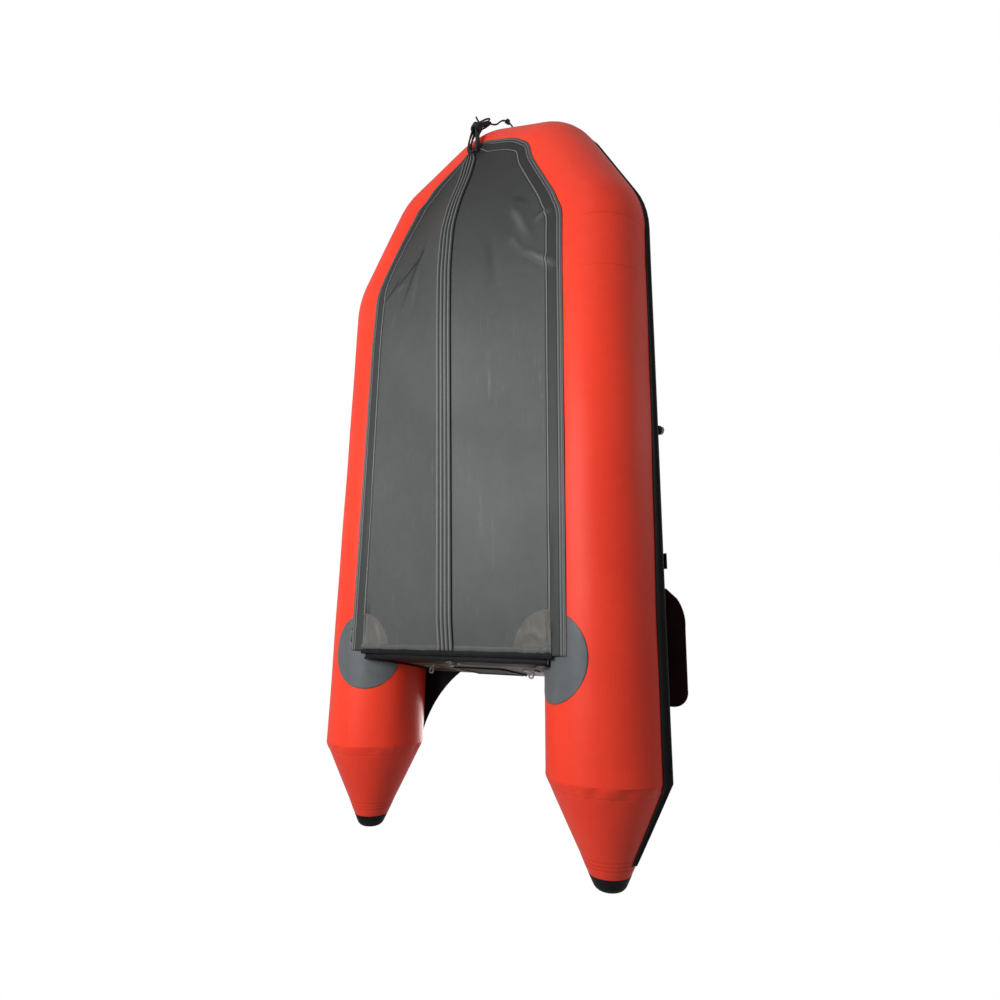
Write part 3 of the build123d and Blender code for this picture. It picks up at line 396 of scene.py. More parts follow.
def rubberFinish(name, colour, roughness):
    f = Finish(name)
    worn = f.noise(f.where(), 14.0, 5.0, 0.65, 0.45, 0.75)
    grain = f.noise(f.where(), 900.0, 2.0)
    base = f.mix(worn * 0.5, colour, tuple(min(1, c * 1.9 + 0.006) for c in colour))
    return f.done(Base_Color=base, Roughness=roughness + 0.12 * worn, Normal=f.relief(grain, 0.00012, 0.5),
                  Specular_IOR_Level=0.14)


blackRubber = rubberFinish("trimRubber", (0.007, 0.007, 0.008), 0.46)
blackPlastic = rubberFinish("blackPlastic", (0.007, 0.007, 0.0075), 0.38)
greyPlastic = rubberFinish("valvePlastic", (0.10, 0.10, 0.105), 0.38)


def woodFinish(name, light, dark, roughness):
    f = Finish(name)
    stretch = (3.0, 40.0, 40.0)  # the grain runs across the boat
    grain = f.noise(f.where(stretch), 1.0, 6.0, 0.62, 0.3, 0.7)
    pores = f.noise(f.where(tuple(5 * x for x in stretch)), 1.0, 3.0, 0.6, 0.55, 0.75)
    base = f.mix(grain, light, dark)
    base = f.mix(pores * 0.45, base, tuple(c * 0.45 for c in dark))
    return f.done(Base_Color=base, Roughness=roughness + 0.15 * grain,
                  Normal=f.relief(grain - pores * 0.5, 0.0004, 0.5))


# varnished plywood made darker than its own colour: partly painted shade, standing in for the deep shade on
# the transom's aft face
shadedTransomWood = woodFinish("shadedTransomWood", (0.165, 0.102, 0.052), (0.095, 0.055, 0.028), 0.34)
deckWood = woodFinish("deckWood", (0.30, 0.27, 0.225), (0.20, 0.175, 0.145), 0.5)


def metalFinish(name, colour, roughness):
    f = Finish(name)
    lines = f.noise(f.where((400.0, 3.0, 400.0)), 1.0, 2.0)
    smear = f.noise(f.where(), 18.0, 4.0)
    return f.done(Base_Color=f.mix(smear * 0.4, colour, tuple(c * 0.8 for c in colour)), Metallic=1.0,
                  Roughness=roughness + 0.12 * smear, Normal=f.relief(lines, 0.00003, 0.4))


alloy = metalFinish("anodisedAlloy", (0.78, 0.79, 0.80), 0.34)
steel = metalFinish("dullSteel", (0.30, 0.30, 0.295), 0.34)


def ropeFinish():
    f = Finish("blackBraid")
    strands = f.noise(f.where(), 420.0, 2.0)
    return f.done(Base_Color=f.mix(strands, (0.006, 0.006, 0.007), (0.030, 0.030, 0.032)), Roughness=0.7,
                  Normal=f.relief(strands, 0.0004, 0.6))


braid = ropeFinish()
print("finishes made")


# a geometry tree with named sizes, run on one object and turned into a plain mesh
class Shaping(Nodes):
    def __init__(self, name):
        self.tree = bpy.data.node_groups.new(name, "GeometryNodeTree")
        for way in ("INPUT", "OUTPUT"):
            self.tree.interface.new_socket("Geometry", in_out=way, socket_type="NodeSocketGeometry")
        self.start = self.tree.nodes.new("NodeGroupInput")
        self.end = self.tree.nodes.new("NodeGroupOutput")
        self.settings = {}

    def given(self, name, value):  # a named size of the tree
        kind = "NodeSocketInt" if isinstance(value, int) else "NodeSocketFloat"
        socket = self.tree.interface.new_socket(name, in_out="INPUT", socket_type=kind)
        self.settings[socket.identifier] = value
        return Val(self.tree, self.start.outputs[name])

    def geometry(self):
        return Val(self.tree, self.start.outputs["Geometry"])

    def named(self, name):
        return self.node("GeometryNodeInputNamedAttribute", {"data_type": "FLOAT"}, Name=name)

    def keep(self, geometry, name, value):
        return self.node("GeometryNodeStoreNamedAttribute", {"data_type": "FLOAT", "domain": "POINT"},
                         Geometry=geometry, Name=name, Value=value)

    def run(self, obj, shape, material):
        whole = self.node("GeometryNodeRealizeInstances", Geometry=shape)
        whole = self.node("GeometryNodeSetMaterial", Geometry=whole, Material=material)
        self.tree.links.new(whole.socket, self.end.inputs["Geometry"])
        mod = obj.modifiers.new("shaping", "NODES")
        mod.node_group = self.tree
        for key, value in self.settings.items():
            mod[key] = value
        mesh = plainMesh(obj)
        name = obj.name
        bpy.data.objects.remove(obj)
        smoothFaces(mesh)
        return linked(name, mesh)


# the ring of tubes
tubes = {
    "around": 96,
    "ringStep": 0.014,
    "seamLift": 0.00045,
    "seamWidth": 0.032,
    "seamEdge": 0.001,
    "seams": [1.80, 2.02],  # from the cone base, along one side
    "pucker": 0.00035,
    "noseFold": 0.0007,
    "slack": 0.0010,
    "inset": 0.0006,
}


def ringStations(low, high, step, edges=()):
    s = list(np.arange(low, high, step)) + [high]
    for e in edges:
        s += [e - 0.003, e - 0.001, e + 0.001, e + 0.003]
    return np.array(sorted(s))


seamStarts = tubes["seams"] + [ringLength - x - tubes["seamWidth"] for x in tubes["seams"]]
seamEdges = [e for x in seamStarts for e in (x, x + tubes["seamWidth"])]
angles = np.arange(tubes["around"]) * 360.0 / tubes["around"]


def seamLift(s):
    lift = np.zeros_like(s)
    soft = tubes["seamEdge"]
    for x in seamStarts:
        end = x + tubes["seamWidth"]
        lift += tubes["seamLift"] * smooth(s, x - soft, x + soft) * (1 - smooth(s, end - soft, end + soft))
    return lift


def makeTubes():
    stations = ringStations(0.0, ringLength, tubes["ringStep"], seamEdges)
    s, a = np.meshgrid(stations, angles, indexing="ij")
    turn = np.radians(a)
    fold = bump(s, half, 0.05) * np.sin(turn * 17 + 1.3 * np.sin(turn * 5)) * tubes["noseFold"]
    for x in tubes["seams"]:  # small puckers run into each seam
        ripple = np.sin(turn * 23 + 2.0 * np.sin(turn * 3) + x) * tubes["pucker"]
        for place in (x, ringLength - x):
            fold = fold + bump(s, place - 0.012, 0.028) * ripple
    slack = tubes["slack"] * np.sin(s * 9 + turn * 3) * np.sin(turn * 2 + s * 4)
    points = skin(s, a, seamLift(s) + fold + slack - tubes["inset"])
    # painted shade along the start edge of each seam, where the cloth creases
    crease = sum(bump(s, e, 0.0014) for e in seamStarts) * (0.65 + 0.35 * np.sin(turn * 3 + s * 5))
    cover = gridMesh("tubeSkin", points, closed=True, uv=(stations, np.radians(angles) * radius),
                     values={"crease": crease})
    parts = ("side_tube", "quarter_tube", "nose_tube")
    covered = [f"{side}_{part}" for side, sign in sides for part in parts]
    dress(cover, redCloth, replaces=covered)


makeTubes()
print("tubes made")

# tail cones, seamed to the side tubes and wound with a band at the tip
cones = {
    "length": 0.325,
    "tip": 0.0525,
    "full": 0.001,
    "inset": 0.0008,
    "rings": 200,
    "seam": 0.034,
    "pucker": 0.0012,
    "lap": 0.0010,
    "bandLines": (0.086, 0.073, 0.060),  # from the tip
    "bandStep": 0.0008,
}


def coneRadius(y):
    share = np.clip(y, 0, None) / cones["length"]
    return radius - (radius - cones["tip"]) * share + cones["full"] * np.sin(np.pi * share)


def tailCone(side, sign):
    y = np.concatenate([np.linspace(-0.006, 0.06, 40), np.linspace(0.063, cones["length"], cones["rings"])])
    around = np.radians(angles)
    along, turn = np.meshgrid(y, around, indexing="ij")
    rng = np.random.default_rng(4 if sign > 0 else 9)
    waves = sum(rng.uniform(0.4, 1) * np.sin(turn * k + rng.uniform(0, 6.28)) for k in (7, 11, 13, 17, 23))
    r = coneRadius(along)
    r = r - 0.0012 * bump(along, 0.0, 0.004) - 0.0007 * bump(along, cones["seam"], 0.003)
    r = r + cones["pucker"] * waves * bump(along, 0.016, 0.020)
    # painted shade in the creases of the seam's puckers, and below along each band line
    crease = bump(along, cones["seam"], 0.0012) * smooth(np.sin(turn * 29 + np.sin(turn * 5)), 0.1, 0.6)
    for fromTip in cones["bandLines"]:
        line = cones["length"] - fromTip
        r = r + cones["bandStep"] * smooth(along, line - 0.0012, line + 0.0012)
        r = r - 0.0006 * bump(along, line + 0.004, 0.0016)
        crease = crease + bump(along, line, 0.0016)
    lap = smooth(turn, 2.2, 2.215) * (1 - smooth(turn, 2.40, 2.415)) * cones["lap"]
    r = r + lap - cones["inset"]
    points = np.stack([sign * (hull["spacing"] + r * np.cos(turn)), hull["coneBase"] + along,
                       hull["height"] + r * np.sin(turn)], -1)
    cone = gridMesh(f"{side}TailCone", points, closed=True, flip=sign > 0, uv=(y, around * radius),
                    values={"crease": crease})
    dress(cone, redCloth, replaces=[f"{side}_tail_cone"])


for side, sign in sides:
    tailCone(side, sign)
print("cones made")

# the floor cloth: each half runs from its edge on the tube, round the tube, to the keel
floor = {
    "rowStep": 0.0085,
    "panelCols": 40,
    "wrapCols": 7,
    "middleCols": 9,
    "crown": 0.010,
    "thick": 0.0012,
    "strakeHalf": 0.041,
    "strakeNose": 0.030,
    "leaves": -91.0,  # degrees round the tube where the panel leaves it at the bow
    "leavesAft": 7.4,  # and so much further round at the stern
    "foldStrength": 1.7,
    # the keel line: the way forward of the stern, and the depth under the side tubes' axis
    "keel": [(0, .194), (.120, .212), (.590, .238), (1.330, .281), (1.594, .291),
             (1.792, .280), (1.948, .240), (2.131, .172), (2.292, .131)],
    # where the edge lies on the tube, in degrees, along one side from the cone base
    "portEdge": [(0, -98.4), (cornerS - 0.10, -99.5), (cornerS + 0.02, -98.5), (cornerS + 0.10, -95.5),
                 (quarterS - 0.10, -94.5), (quarterS - 0.03, -90.0), (quarterS + 0.03, -82.5),
                 (quarterS + 0.10, -77.0), (half - 0.06, -75.5), (half, -82.0)],
    "starboardEdge": [(0, -101.0), (cornerS - 0.30, -101.0), (cornerS, -104.0), (cornerS + 0.10, -101.5),
                      (quarterS - 0.20, -101.5), (quarterS - 0.05, -103.5), (quarterS + 0.05, -99.0),
                      (quarterS + 0.12, -92.0), (half - 0.08, -89.0), (half, -82.0)],
}
# across the tape, in millimetres from the cloth's edge: lift, tape, ridge and groove shares; the last two are
# a painted highlight on the raised lines and painted shade in the low lines
tapeProfile = [
    (0, 0.4, 0.2, 0.0, 0.9), (2.5, 1.3, 0.2, 0.5, 0.0), (7, 1.2, 0.2, 0.0, 0.0), (9, 2.9, 0.2, 0.8, 0.0),
    (11, 2.9, 0.2, 0.8, 0.0), (14, 1.0, 0.2, 0.0, 0.9), (17, 1.2, 0.3, 0.0, 0.0), (21, 2.7, 0.3, 0.7, 0.0),
    (23, 2.7, 0.5, 0.5, 0.0), (26, 1.0, 0.8, 0.0, 1.0), (30, 1.2, 1.0, 0.0, 0.0), (46, 1.2, 1.0, 0.0, 0.0),
    (60, 1.3, 1.0, 0.0, 0.0), (63, 1.2, 1.0, 0.0, 0.9), (66, 2.7, 0.4, 0.8, 0.0), (69, 2.9, 0.2, 1.0, 0.0),
    (72, 0.4, 0.0, 0.0, 1.0), (75, 0.0, 0.0, 0.0, 0.7), (78, 0.0, 0.0, 0.0, 0.0), (86, 0.0, 0.0, 0.0, 0.0),
]
tapeAt = np.array([p[0] / 1000 for p in tapeProfile])
endY = hull["sternEdge"] - floor["keel"][-1][0]
rows = ringStations(sternS, half, floor["rowStep"])


def softened(values, spread, reach, ahead):  # a running mean with bell-shaped weights
    weights = np.exp(-np.linspace(-spread, spread, 2 * reach + 1) ** 2)
    behind = np.full(reach, values[0])
    return np.convolve(np.concatenate([behind, values, ahead]), weights / weights.sum(), "valid")


keelAt = np.linspace(-0.05, 2.36, 1200)
keelRaw = fromTable(keelAt, floor["keel"])
keelDepth = softened(keelRaw, 2.5, 60, keelRaw[-1] + (keelRaw[-1] - keelRaw[-2]) * np.arange(1, 61))


def keelHeight(y):
    return hull["height"] - np.interp(hull["sternEdge"] - y, keelAt, keelDepth)


def arcLength(points):
    steps = np.linalg.norm(np.diff(points, axis=1), axis=2)
    return np.concatenate([np.zeros((points.shape[0], 1)), np.cumsum(steps, axis=1)], 1)


def panelGrid(edgeTable):  # from the edge round the tube, over the panel, to the centre line
    edgeAngle = fromTable(rows, edgeTable)
    edgeAngle = softened(edgeAngle, 2, 7, np.full(7, edgeAngle[-1]))
    leavesAft = floor["leavesAft"] * (1 - smooth(rows, cornerS - 0.1, quarterS))
    leavesAngle = np.minimum(edgeAngle, floor["leaves"] - leavesAft)
    leaves = skin(rows, leavesAngle, floor["thick"])
    fore = rows >= quarterS
    keelRowY = leaves[:, 1].copy()
    keelRowY[fore] = np.interp(rows[fore], [quarterS, half], [leaves[~fore][-1, 1], endY])
    keelRowY = np.minimum.accumulate(keelRowY)
    middle = np.minimum(floor["strakeHalf"], leaves[:, 0] * 0.45)
    middle = np.maximum(middle, floor["strakeNose"] * (1 - smooth(rows, half - 0.05, half)))
    keel = np.stack([middle, keelRowY, keelHeight(keelRowY)], -1)
    width = np.linalg.norm(keel - leaves, axis=1)
    grid = []
    for j in range(floor["wrapCols"]):
        t = j / floor["wrapCols"]
        grid.append(skin(rows, edgeAngle * (1 - t) + leavesAngle * t, floor["thick"]))
    for j in range(floor["panelCols"]):
        t = j / floor["panelCols"]
        panel = leaves * (1 - t) + keel * t
        panel[:, 2] += floor["crown"] * math.sin(math.pi * t) * smooth(width, 0.05, 0.35)
        grid.append(panel)
    for j in range(floor["middleCols"] + 1):
        strip = keel.copy()
        strip[:, 0] = keel[:, 0] * (1 - j / floor["middleCols"])
        grid.append(strip)
    return np.stack(grid, 1), keelRowY, middle


def floorHalf(edgeTable):
    raw, keelRowY, middle = panelGrid(edgeTable)
    arc = arcLength(raw)
    out, squeezes = [], []
    for i in range(len(rows)):
        total = arc[i, -1]
        squeeze = min(1.0, total * 0.5 / tapeAt[-1])  # the tape narrows where the half does
        tape = tapeAt * squeeze
        keelEdge = max(arc[i, floor["wrapCols"] + floor["panelCols"]], tape[-1] + 0.001)
        panel = np.linspace(tape[-1], keelEdge, 48)[1:]
        strip = np.linspace(keelEdge, max(total, keelEdge + 0.001), 10)[1:]
        across = np.concatenate([tape, panel, strip])
        out.append(np.stack([np.interp(across, arc[i], raw[i, :, c]) for c in range(3)], -1))
        squeezes.append(squeeze)
    points = np.array(out)
    shares = {}
    for k, name in enumerate(("lift", "tape", "ridge", "groove")):
        line = np.zeros(points.shape[1])
        line[:len(tapeAt)] = [p[k + 1] for p in tapeProfile]
        shares[name] = np.outer(np.ones(len(rows)), line)
    points[..., 2] -= shares.pop("lift") / 1000 * np.array(squeezes)[:, None]
    return points, shares, keelRowY, middle


# folds pressed into the cloth: points across and along, then width and height
folds = {
    "port": [
        ([(.318, -.715), (.369, -.646), (.426, -.600), (.500, -.552)], 0.015, -0.0085),
        ([(.335, -.690), (.385, -.628), (.435, -.580)], 0.016, 0.0060),
        ([(.420, -.765), (.454, -.789), (.490, -.789)], 0.010, -0.0060),
        ([(.425, -.800), (.460, -.812)], 0.010, 0.0045),
        ([(.300, -.880), (.340, -.810), (.362, -.760), (.395, -.710)], 0.022, -0.0050),
        ([(.285, -.955), (.345, -.908), (.400, -.866)], 0.020, 0.0035),
        ([(.205, -.790), (.215, -.640), (.240, -.520)], 0.030, 0.0030),
        ([(.331, .885), (.360, .850), (.400, .838), (.440, .868)], 0.014, -0.0022),
        ([(.345, .800), (.352, .850)], 0.012, 0.0018),
        ([(.455, .78), (.470, .85), (.462, .905)], 0.010, 0.0045),
        ([(.480, .40), (.470, .62), (.478, .80)], 0.006, 0.0016),
    ],
    "starboard": [
        ([(.360, -.755), (.265, -.810), (.180, -.856)], 0.013, 0.0065),
        ([(.350, -.715), (.290, -.740)], 0.012, -0.0040),
        ([(.455, -.715), (.384, -.763), (.345, -.800)], 0.012, 0.0055),
        ([(.330, -.600), (.232, -.779), (.150, -.930)], 0.016, 0.0045),
        ([(.400, -.500), (.330, -.640)], 0.014, -0.0030),
        ([(.240, -.560), (.175, -.760)], 0.016, -0.0030),
        ([(.440, .70), (.450, .84), (.442, .905)], 0.012, 0.0050),
        ([(.400, .800), (.380, .860), (.372, .912)], 0.012, -0.0030),
        ([(.470, .10), (.462, .40), (.470, .66)], 0.006, 0.0016),
    ],
}


def foldLift(points, side):
    flat = points[..., :2]
    lift = np.zeros(flat.shape[:-1])
    for path, width, height in folds[side]:
        path = np.array(path)
        lengths = np.linalg.norm(np.diff(path, axis=0), axis=1)
        total, run = lengths.sum(), 0.0
        nearest = np.full(lift.shape, 9.0)
        share = np.zeros(lift.shape)
        for a, b, length in zip(path, path[1:], lengths):
            t = np.clip(((flat - a) @ (b - a)) / length ** 2, 0, 1)
            gap = np.linalg.norm(flat - (a + t[..., None] * (b - a)), axis=-1)
            closer = gap < nearest
            share = np.where(closer, (run + t * length) / total, share)
            nearest = np.where(closer, gap, nearest)
            run += length
        taper = np.clip(np.sin(np.pi * (0.12 + 0.76 * share)), 0, 1)
        lift += floor["foldStrength"] * height * taper * np.exp(-(nearest / width) ** 2)
    return lift


portHalf, portShares, portKeelY, strakeWidth = floorHalf(floor["portEdge"])
starHalf, starShares, starKeelY, _ = floorHalf(floor["starboardEdge"])
starHalf[:, -1] = portHalf[:, -1]
for points, shares, side in ((portHalf, portShares, "port"), (starHalf, starShares, "starboard")):
    lift = foldLift(points, side)
    points[..., 2] += lift
    # painted shade in the fold valleys and painted highlight on the fold crests
    shares["groove"] = np.clip(shares["groove"] + 0.85 * smooth(lift, 0.002, 0.010), 0, 1)
    shares["ridge"] = np.clip(shares["ridge"] + 0.35 * smooth(-lift, 0.002, 0.010), 0, 1)
portArc, starArc = arcLength(portHalf), arcLength(starHalf)
mirrored = starHalf.copy()
mirrored[..., 0] *= -1


def makeFloor():
    points = np.concatenate([portHalf, mirrored[:, -2::-1]], 1)
    across = np.concatenate([portArc, portArc[:, -1:] + starArc[:, -1:] - starArc[:, -2::-1]], 1)
    shares = {k: np.concatenate([portShares[k], starShares[k][:, -2::-1]], 1) for k in portShares}
    sheet = gridMesh("floorSkin", points, uv=(rows, across), values=shares)
    facing(sheet, 2, -1)
    keelRun = 1.05 * float(portKeelY[0] - portKeelY[-1])  # the keel line rises, so it is longer than its plan
    shell(sheet, floor["thick"])
    dress(sheet, floorFinish, replaces=["floor_fabric", "keel_tube"])


makeFloor()
print("floor made")

# the keel strake: a flat strip on the keel line, whose ridges are raised by a geometry tree
strake = {"base": 0.003, "ridge": 0.0045, "ridges": 4, "step": 0.009}


def keelStrake():
    y = np.arange(hull["sternEdge"] - 0.009, endY + 0.01, -strake["step"])
    wide = np.interp(-y, -portKeelY, strakeWidth)
    cols = np.linspace(-1, 1, 8 * strake["ridges"] + 1)
    cols = np.concatenate([[-1.0], cols, [1.0]])
    under = np.zeros(len(cols))
    under[0] = under[-1] = 1.0
    low = (keelHeight(y) - floor["thick"])[:, None]
    points = np.stack(np.broadcast_arrays(cols[None, :] * wide[:, None], y[:, None], low), -1)
    strip = gridMesh("keelStrake", points, closed=True, uv=(y, cols * 0.045),
                     values={"across": cols, "under": under, "tape": 0.0})
    shape = Shaping("keelRidges")
    base, ridge = shape.given("base", strake["base"]), shape.given("ridge", strake["ridge"])
    count = shape.given("ridges", strake["ridges"])
    swell = ((shape.named("across") + 1) * count * (math.pi / 2)).sine().size() ** 0.7
    drop = (base + ridge * swell) * (1 - shape.named("under"))
    move = shape.node("ShaderNodeCombineXYZ", Z=drop * -1)
    body = shape.node("GeometryNodeSetPosition", Geometry=shape.geometry(), Offset=move)
    # painted highlight on the ridge tops and painted shade in the grooves between them
    body = shape.keep(body, "ridge", (swell - 0.90) * 9.0)
    body = shape.keep(body, "groove", (0.62 - swell) * 2.6)
    strip = closeEnds(shape.run(strip, body, floorFinish))
    dress(strip, floorFinish, replaces=["keel_strake"])


keelStrake()
print("keel strake made")

# the rubbing strake, from one cone to the other round the bow
rub = {
    "high": 16.0,  # the upper edge, in degrees round the tube
    # the lower edge, in degrees, along one side from the cone base
    "low": [(0, -9.0), (0.5, -8.0), (0.8, -5.5), (1.25, -1.5), (1.55, 1.0), (1.85, 2.5),
            (2.1, 6.5), (2.4, 8.0), (half, 8.0)],
    "thick": 0.0025,
    "bead": 0.0105,
    "beadHalf": 0.012,
    "sunk": 0.0003,
    "coneShare": 0.79,
    "step": 0.02,
}


def rubProfile():  # across the strake: share of its width, part of the bead's half width, lift
    thick, sunk = rub["thick"], rub["sunk"]
    profile = [(0.0, 0, sunk), (0.0, 0, thick * 0.7), (0.03, 0, thick)]
    for k in range(11):
        t = -1 + k / 5
        profile.append((0.5, t, thick + rub["bead"] * math.sqrt(max(0.0, 1 - t * t))))
    return profile + [(0.97, 0, thick), (1.0, 0, thick * 0.7), (1.0, 0, sunk)]


def rubAngles(s):
    low = fromTable(np.minimum(s, ringLength - s), rub["low"])
    width = rub["high"] - low
    beadShare = rub["beadHalf"] / radius * 180 / math.pi / width
    profile = rubProfile()
    across = [low + width * (place + beadShare * t) for place, t, lift in profile]
    return np.stack(across, -1), np.array([lift for place, t, lift in profile])


def rubOnCone(sign, start, lift):
    out = []
    for y in np.linspace(cones["length"] * rub["coneShare"], 0.012, 24):
        share = y / cones["length"]
        r = float(coneRadius(y))
        spread = (1 - 0.45 * share) * radius / max(r, 0.08) * 0.8 if y > 0.02 else 1.0
        turn = np.radians(start.mean() + (start - start.mean()) * spread)
        reach = r + lift * (1 - 0.5 * share)
        out.append(np.stack([sign * (hull["spacing"] + reach * np.cos(turn)),
                             np.full_like(reach, hull["coneBase"] + y),
                             hull["height"] + reach * np.sin(turn)], -1))
    return np.array(out)


def rubbingStrake():
    s = ringStations(0.0, ringLength, rub["step"])
    across, lift = rubAngles(s)
    ring = skin(s[:, None], across, np.broadcast_to(lift, across.shape))
    points = np.concatenate([rubOnCone(1, across[0], lift), ring, rubOnCone(-1, across[0], lift)[::-1]], 0)
    piece = closeEnds(gridMesh("rubbingStrake", points, closed=True))
    dress(piece, blackRubber,
          replaces=[f"{side}_rubbing_strake" for side, sign in sides])


rubbingStrake()
print("rubbing strake made")

# round patches at the floor's stern corners, in two halves each: on the tube and on the floor
patch = {"radius": 0.155, "inset": 0.109, "lift": 0.0010, "thick": 0.0012, "cells": 60, "tape": 0.070}


def patchCell(corners, centreU, kind):  # which half holds this cell of the disc
    u = sum(v.co.x for v in corners) / 4 + centreU
    along = sum(v.co.y for v in corners) / 4
    onFloor = u < 0 and along < -0.002
    return not onFloor if kind == "Tube" else onFloor and u < -patch["tape"]


def cornerPatch(side, sign, kind):
    edgeTable = floor["portEdge"] if sign > 0 else floor["starboardEdge"]
    points, arc, keelRowY = (portHalf, portArc, portKeelY) if sign > 0 else (starHalf, starArc, starKeelY)
    edge = math.radians(edgeTable[0][1])
    centreU = -patch["inset"] - radius * (edge + math.pi / 2)  # across, from the floor's edge
    bm = bmesh.new()
    n = patch["cells"]
    for i in range(n + 1):
        for j in range(n + 1):
            x, y = i / n * 2 - 1, j / n * 2 - 1  # square to disc
            across, along = x * math.sqrt(1 - y * y / 2), y * math.sqrt(1 - x * x / 2)
            bm.verts.new((across * patch["radius"], along * patch["radius"], 0))
    bm.verts.ensure_lookup_table()
    for i in range(n):
        for j in range(n):
            corners = [bm.verts[(i + a) * (n + 1) + j + b] for a, b in ((0, 0), (1, 0), (1, 1), (0, 1))]
            if patchCell(corners, centreU, kind):
                bm.faces.new(corners)
    bmesh.ops.delete(bm, geom=[v for v in bm.verts if not v.link_faces], context="VERTS")
    for v in bm.verts:
        u, y = v.co.x + centreU, hull["sternEdge"] + v.co.y
        if kind == "Tube":
            angle = edge + u / radius
            r = radius + patch["lift"] * 1.5
            v.co = (sign * (hull["spacing"] + r * math.cos(angle)), y, hull["height"] + r * math.sin(angle))
        else:
            i = int(np.argmin(np.abs(keelRowY - y)))
            place = [np.interp(-u, arc[i], points[i, :, c]) for c in range(3)]
            v.co = (sign * place[0], y, place[2] - patch["lift"])
    mesh = bpy.data.meshes.new(f"{side}Patch{kind}")
    bm.to_mesh(mesh)
    bm.free()
    piece = linked(mesh.name, mesh)
    facing(piece, 2, -1)
    smoothFaces(mesh)
    layer = mesh.uv_layers.new(name="skin")
    for loop in mesh.loops:
        layer.data[loop.index].uv = mesh.vertices[loop.vertex_index].co.xy
    shell(piece, patch["thick"])
    return dress(piece, patchCloth if kind == "Tube" else patchOnFloor)


for side, sign in sides:
    onTube = cornerPatch(side, sign, "Tube")
    cornerPatch(side, sign, "Floor")
    if side == "port":
        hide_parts("corner_patches")
print("patches made")

# the flap of cloth under the transom's foot, and the rubber tape up its aft face
foot = {
    "tapeHeight": 0.100,
    "tapeHalf": 0.452,
    "tapeLift": 0.002,
    "tapeThick": 0.0016,
    "stripThick": 0.0014,
    "stripInset": 0.058,  # from the floor's edge
    "lean": math.radians(9),
    "boardBase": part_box("transom_board")[0],
    "boardThick": 0.028,
}
cosLean, sinLean = math.cos(foot["lean"]), math.sin(foot["lean"])


def footStrip(name, start, stop, lift, ripples, material):
    inset = foot["stripInset"]
    line = np.concatenate([portHalf[0][portArc[0] > inset], mirrored[0][starArc[0] > inset][-2::-1]], 0)
    x, z = line[:, 0], line[:, 2]
    ripple = 0.0008 * np.sin(x * 37) + 0.0005 * np.sin(x * 91)
    ripple = ripples * (ripple + 0.0020 * bump(x, 0.44, 0.05) * np.sin(x * 160))
    steps = [(start, lift - 0.0012), (start + 0.0015, lift), ((start + stop) / 2, lift),
             (stop - 0.0015, lift), (stop, lift - 0.0012)]
    points = np.stack([np.stack([x, hull["sternEdge"] + along + ripple, z - drop - ripple * 0.6], -1)
                       for along, drop in steps], 0)
    strip = gridMesh(name, points, uv=(np.array([along for along, drop in steps]), x))
    facing(strip, 2, -1)
    shell(strip, foot["stripThick"])
    dress(strip, material)


# the black tape is partly a real holder tape and partly painted shade, darkening the board's lower aft face
# where deep shade falls
def transomTape():
    x = np.linspace(-foot["tapeHalf"], foot["tapeHalf"], 120)
    up = np.concatenate([[-0.024, -0.012, -0.003], np.linspace(0.0005, foot["tapeHeight"], 16)])
    across, rise = np.meshgrid(x, up, indexing="ij")
    out = foot["tapeLift"] * (1 - 0.6 * smooth(rise, foot["tapeHeight"] - 0.002, foot["tapeHeight"]))
    out = out + 0.0006 * np.sin(across * 31 + rise * 40)
    below = np.clip(-rise, 0, None)  # the lower edge is turned in under the board
    rise = np.clip(rise, 0, None)
    y = hull["sternEdge"] + (foot["boardThick"] + out - below) * cosLean + rise * sinLean
    z = foot["boardBase"].z + rise * cosLean + (below - out) * sinLean - foot["tapeLift"] * (below > 0)
    tape = gridMesh("transomTape", np.stack([across, y, z], -1), uv=(x, up))
    facing(tape, 1, 1)
    shell(tape, foot["tapeThick"])
    dress(tape, blackRubber)


footStrip("footFlap", -0.029, -0.0085, 0.0030, 1.0, footCloth)
footStrip("footBand", -0.012, 0.011, 0.0020, 0.3, blackRubber)
transomTape()
print("transom foot made")

# the painter: one rope from the bow handle over the nose, wound into a hank and tied round
painter = {
    "thick": 0.008,
    "levels": (0.0328, 0.0248, 0.0168, 0.0088),  # each turn of the hank, off the nose's skin
    "shift": (0.007, -0.006, 0.006, -0.007),  # and how far each lies aside
    "lobe": 0.025,
    "waist": 0.0055,
    "waistLift": 0.0060,
    "waistSpread": 13.0,  # in degrees, as are the three places of the hank round the nose
    "top": 51.0,
    "middle": 27.0,
    "bottom": -1.0,
    "aside": 0.015,
    "lean": 0.004,
    "lead": [(-0.012, 70.0, 0.038), (-0.022, 60.0, 0.037)],
    "down": (0.93, 0.78, 0.64, 0.5, 0.36, 0.22, 0.07),  # shares of the hank's run
    "wraps": 4,
    "wrapWide": 0.01957,
    "wrapDeep": 0.02369,
    "wrapPitch": 2.3,
    "tail": [(0.0076, 3.0, 0.029), (-0.0064, 9.0, 0.035)],
    "ringStep": 0.0022,
    "braidPitch": 0.016,
    "braidDepth": 0.00035,
    "knotAt": 5,  # the point of the route that carries the knot
    "knotReach": 0.00896,
    "knotTurns": 2.4,
}
# across, forward of the nose's centre, height
painterRoute = [
    (0, .075, .629), (.002, .128, .632), (.012, .208, .599), (.030, .276, .537),
    (.043, .318, .461), (.044, .328, .395), (.032, .306, .354), (.013, .273, .337),
]
painterPoints = [(across, round(nosePoint[1] - ahead, 5), height) for across, ahead, height in painterRoute]
mitreShare = math.cos(math.atan2(hull["noseRun"], quarterX))


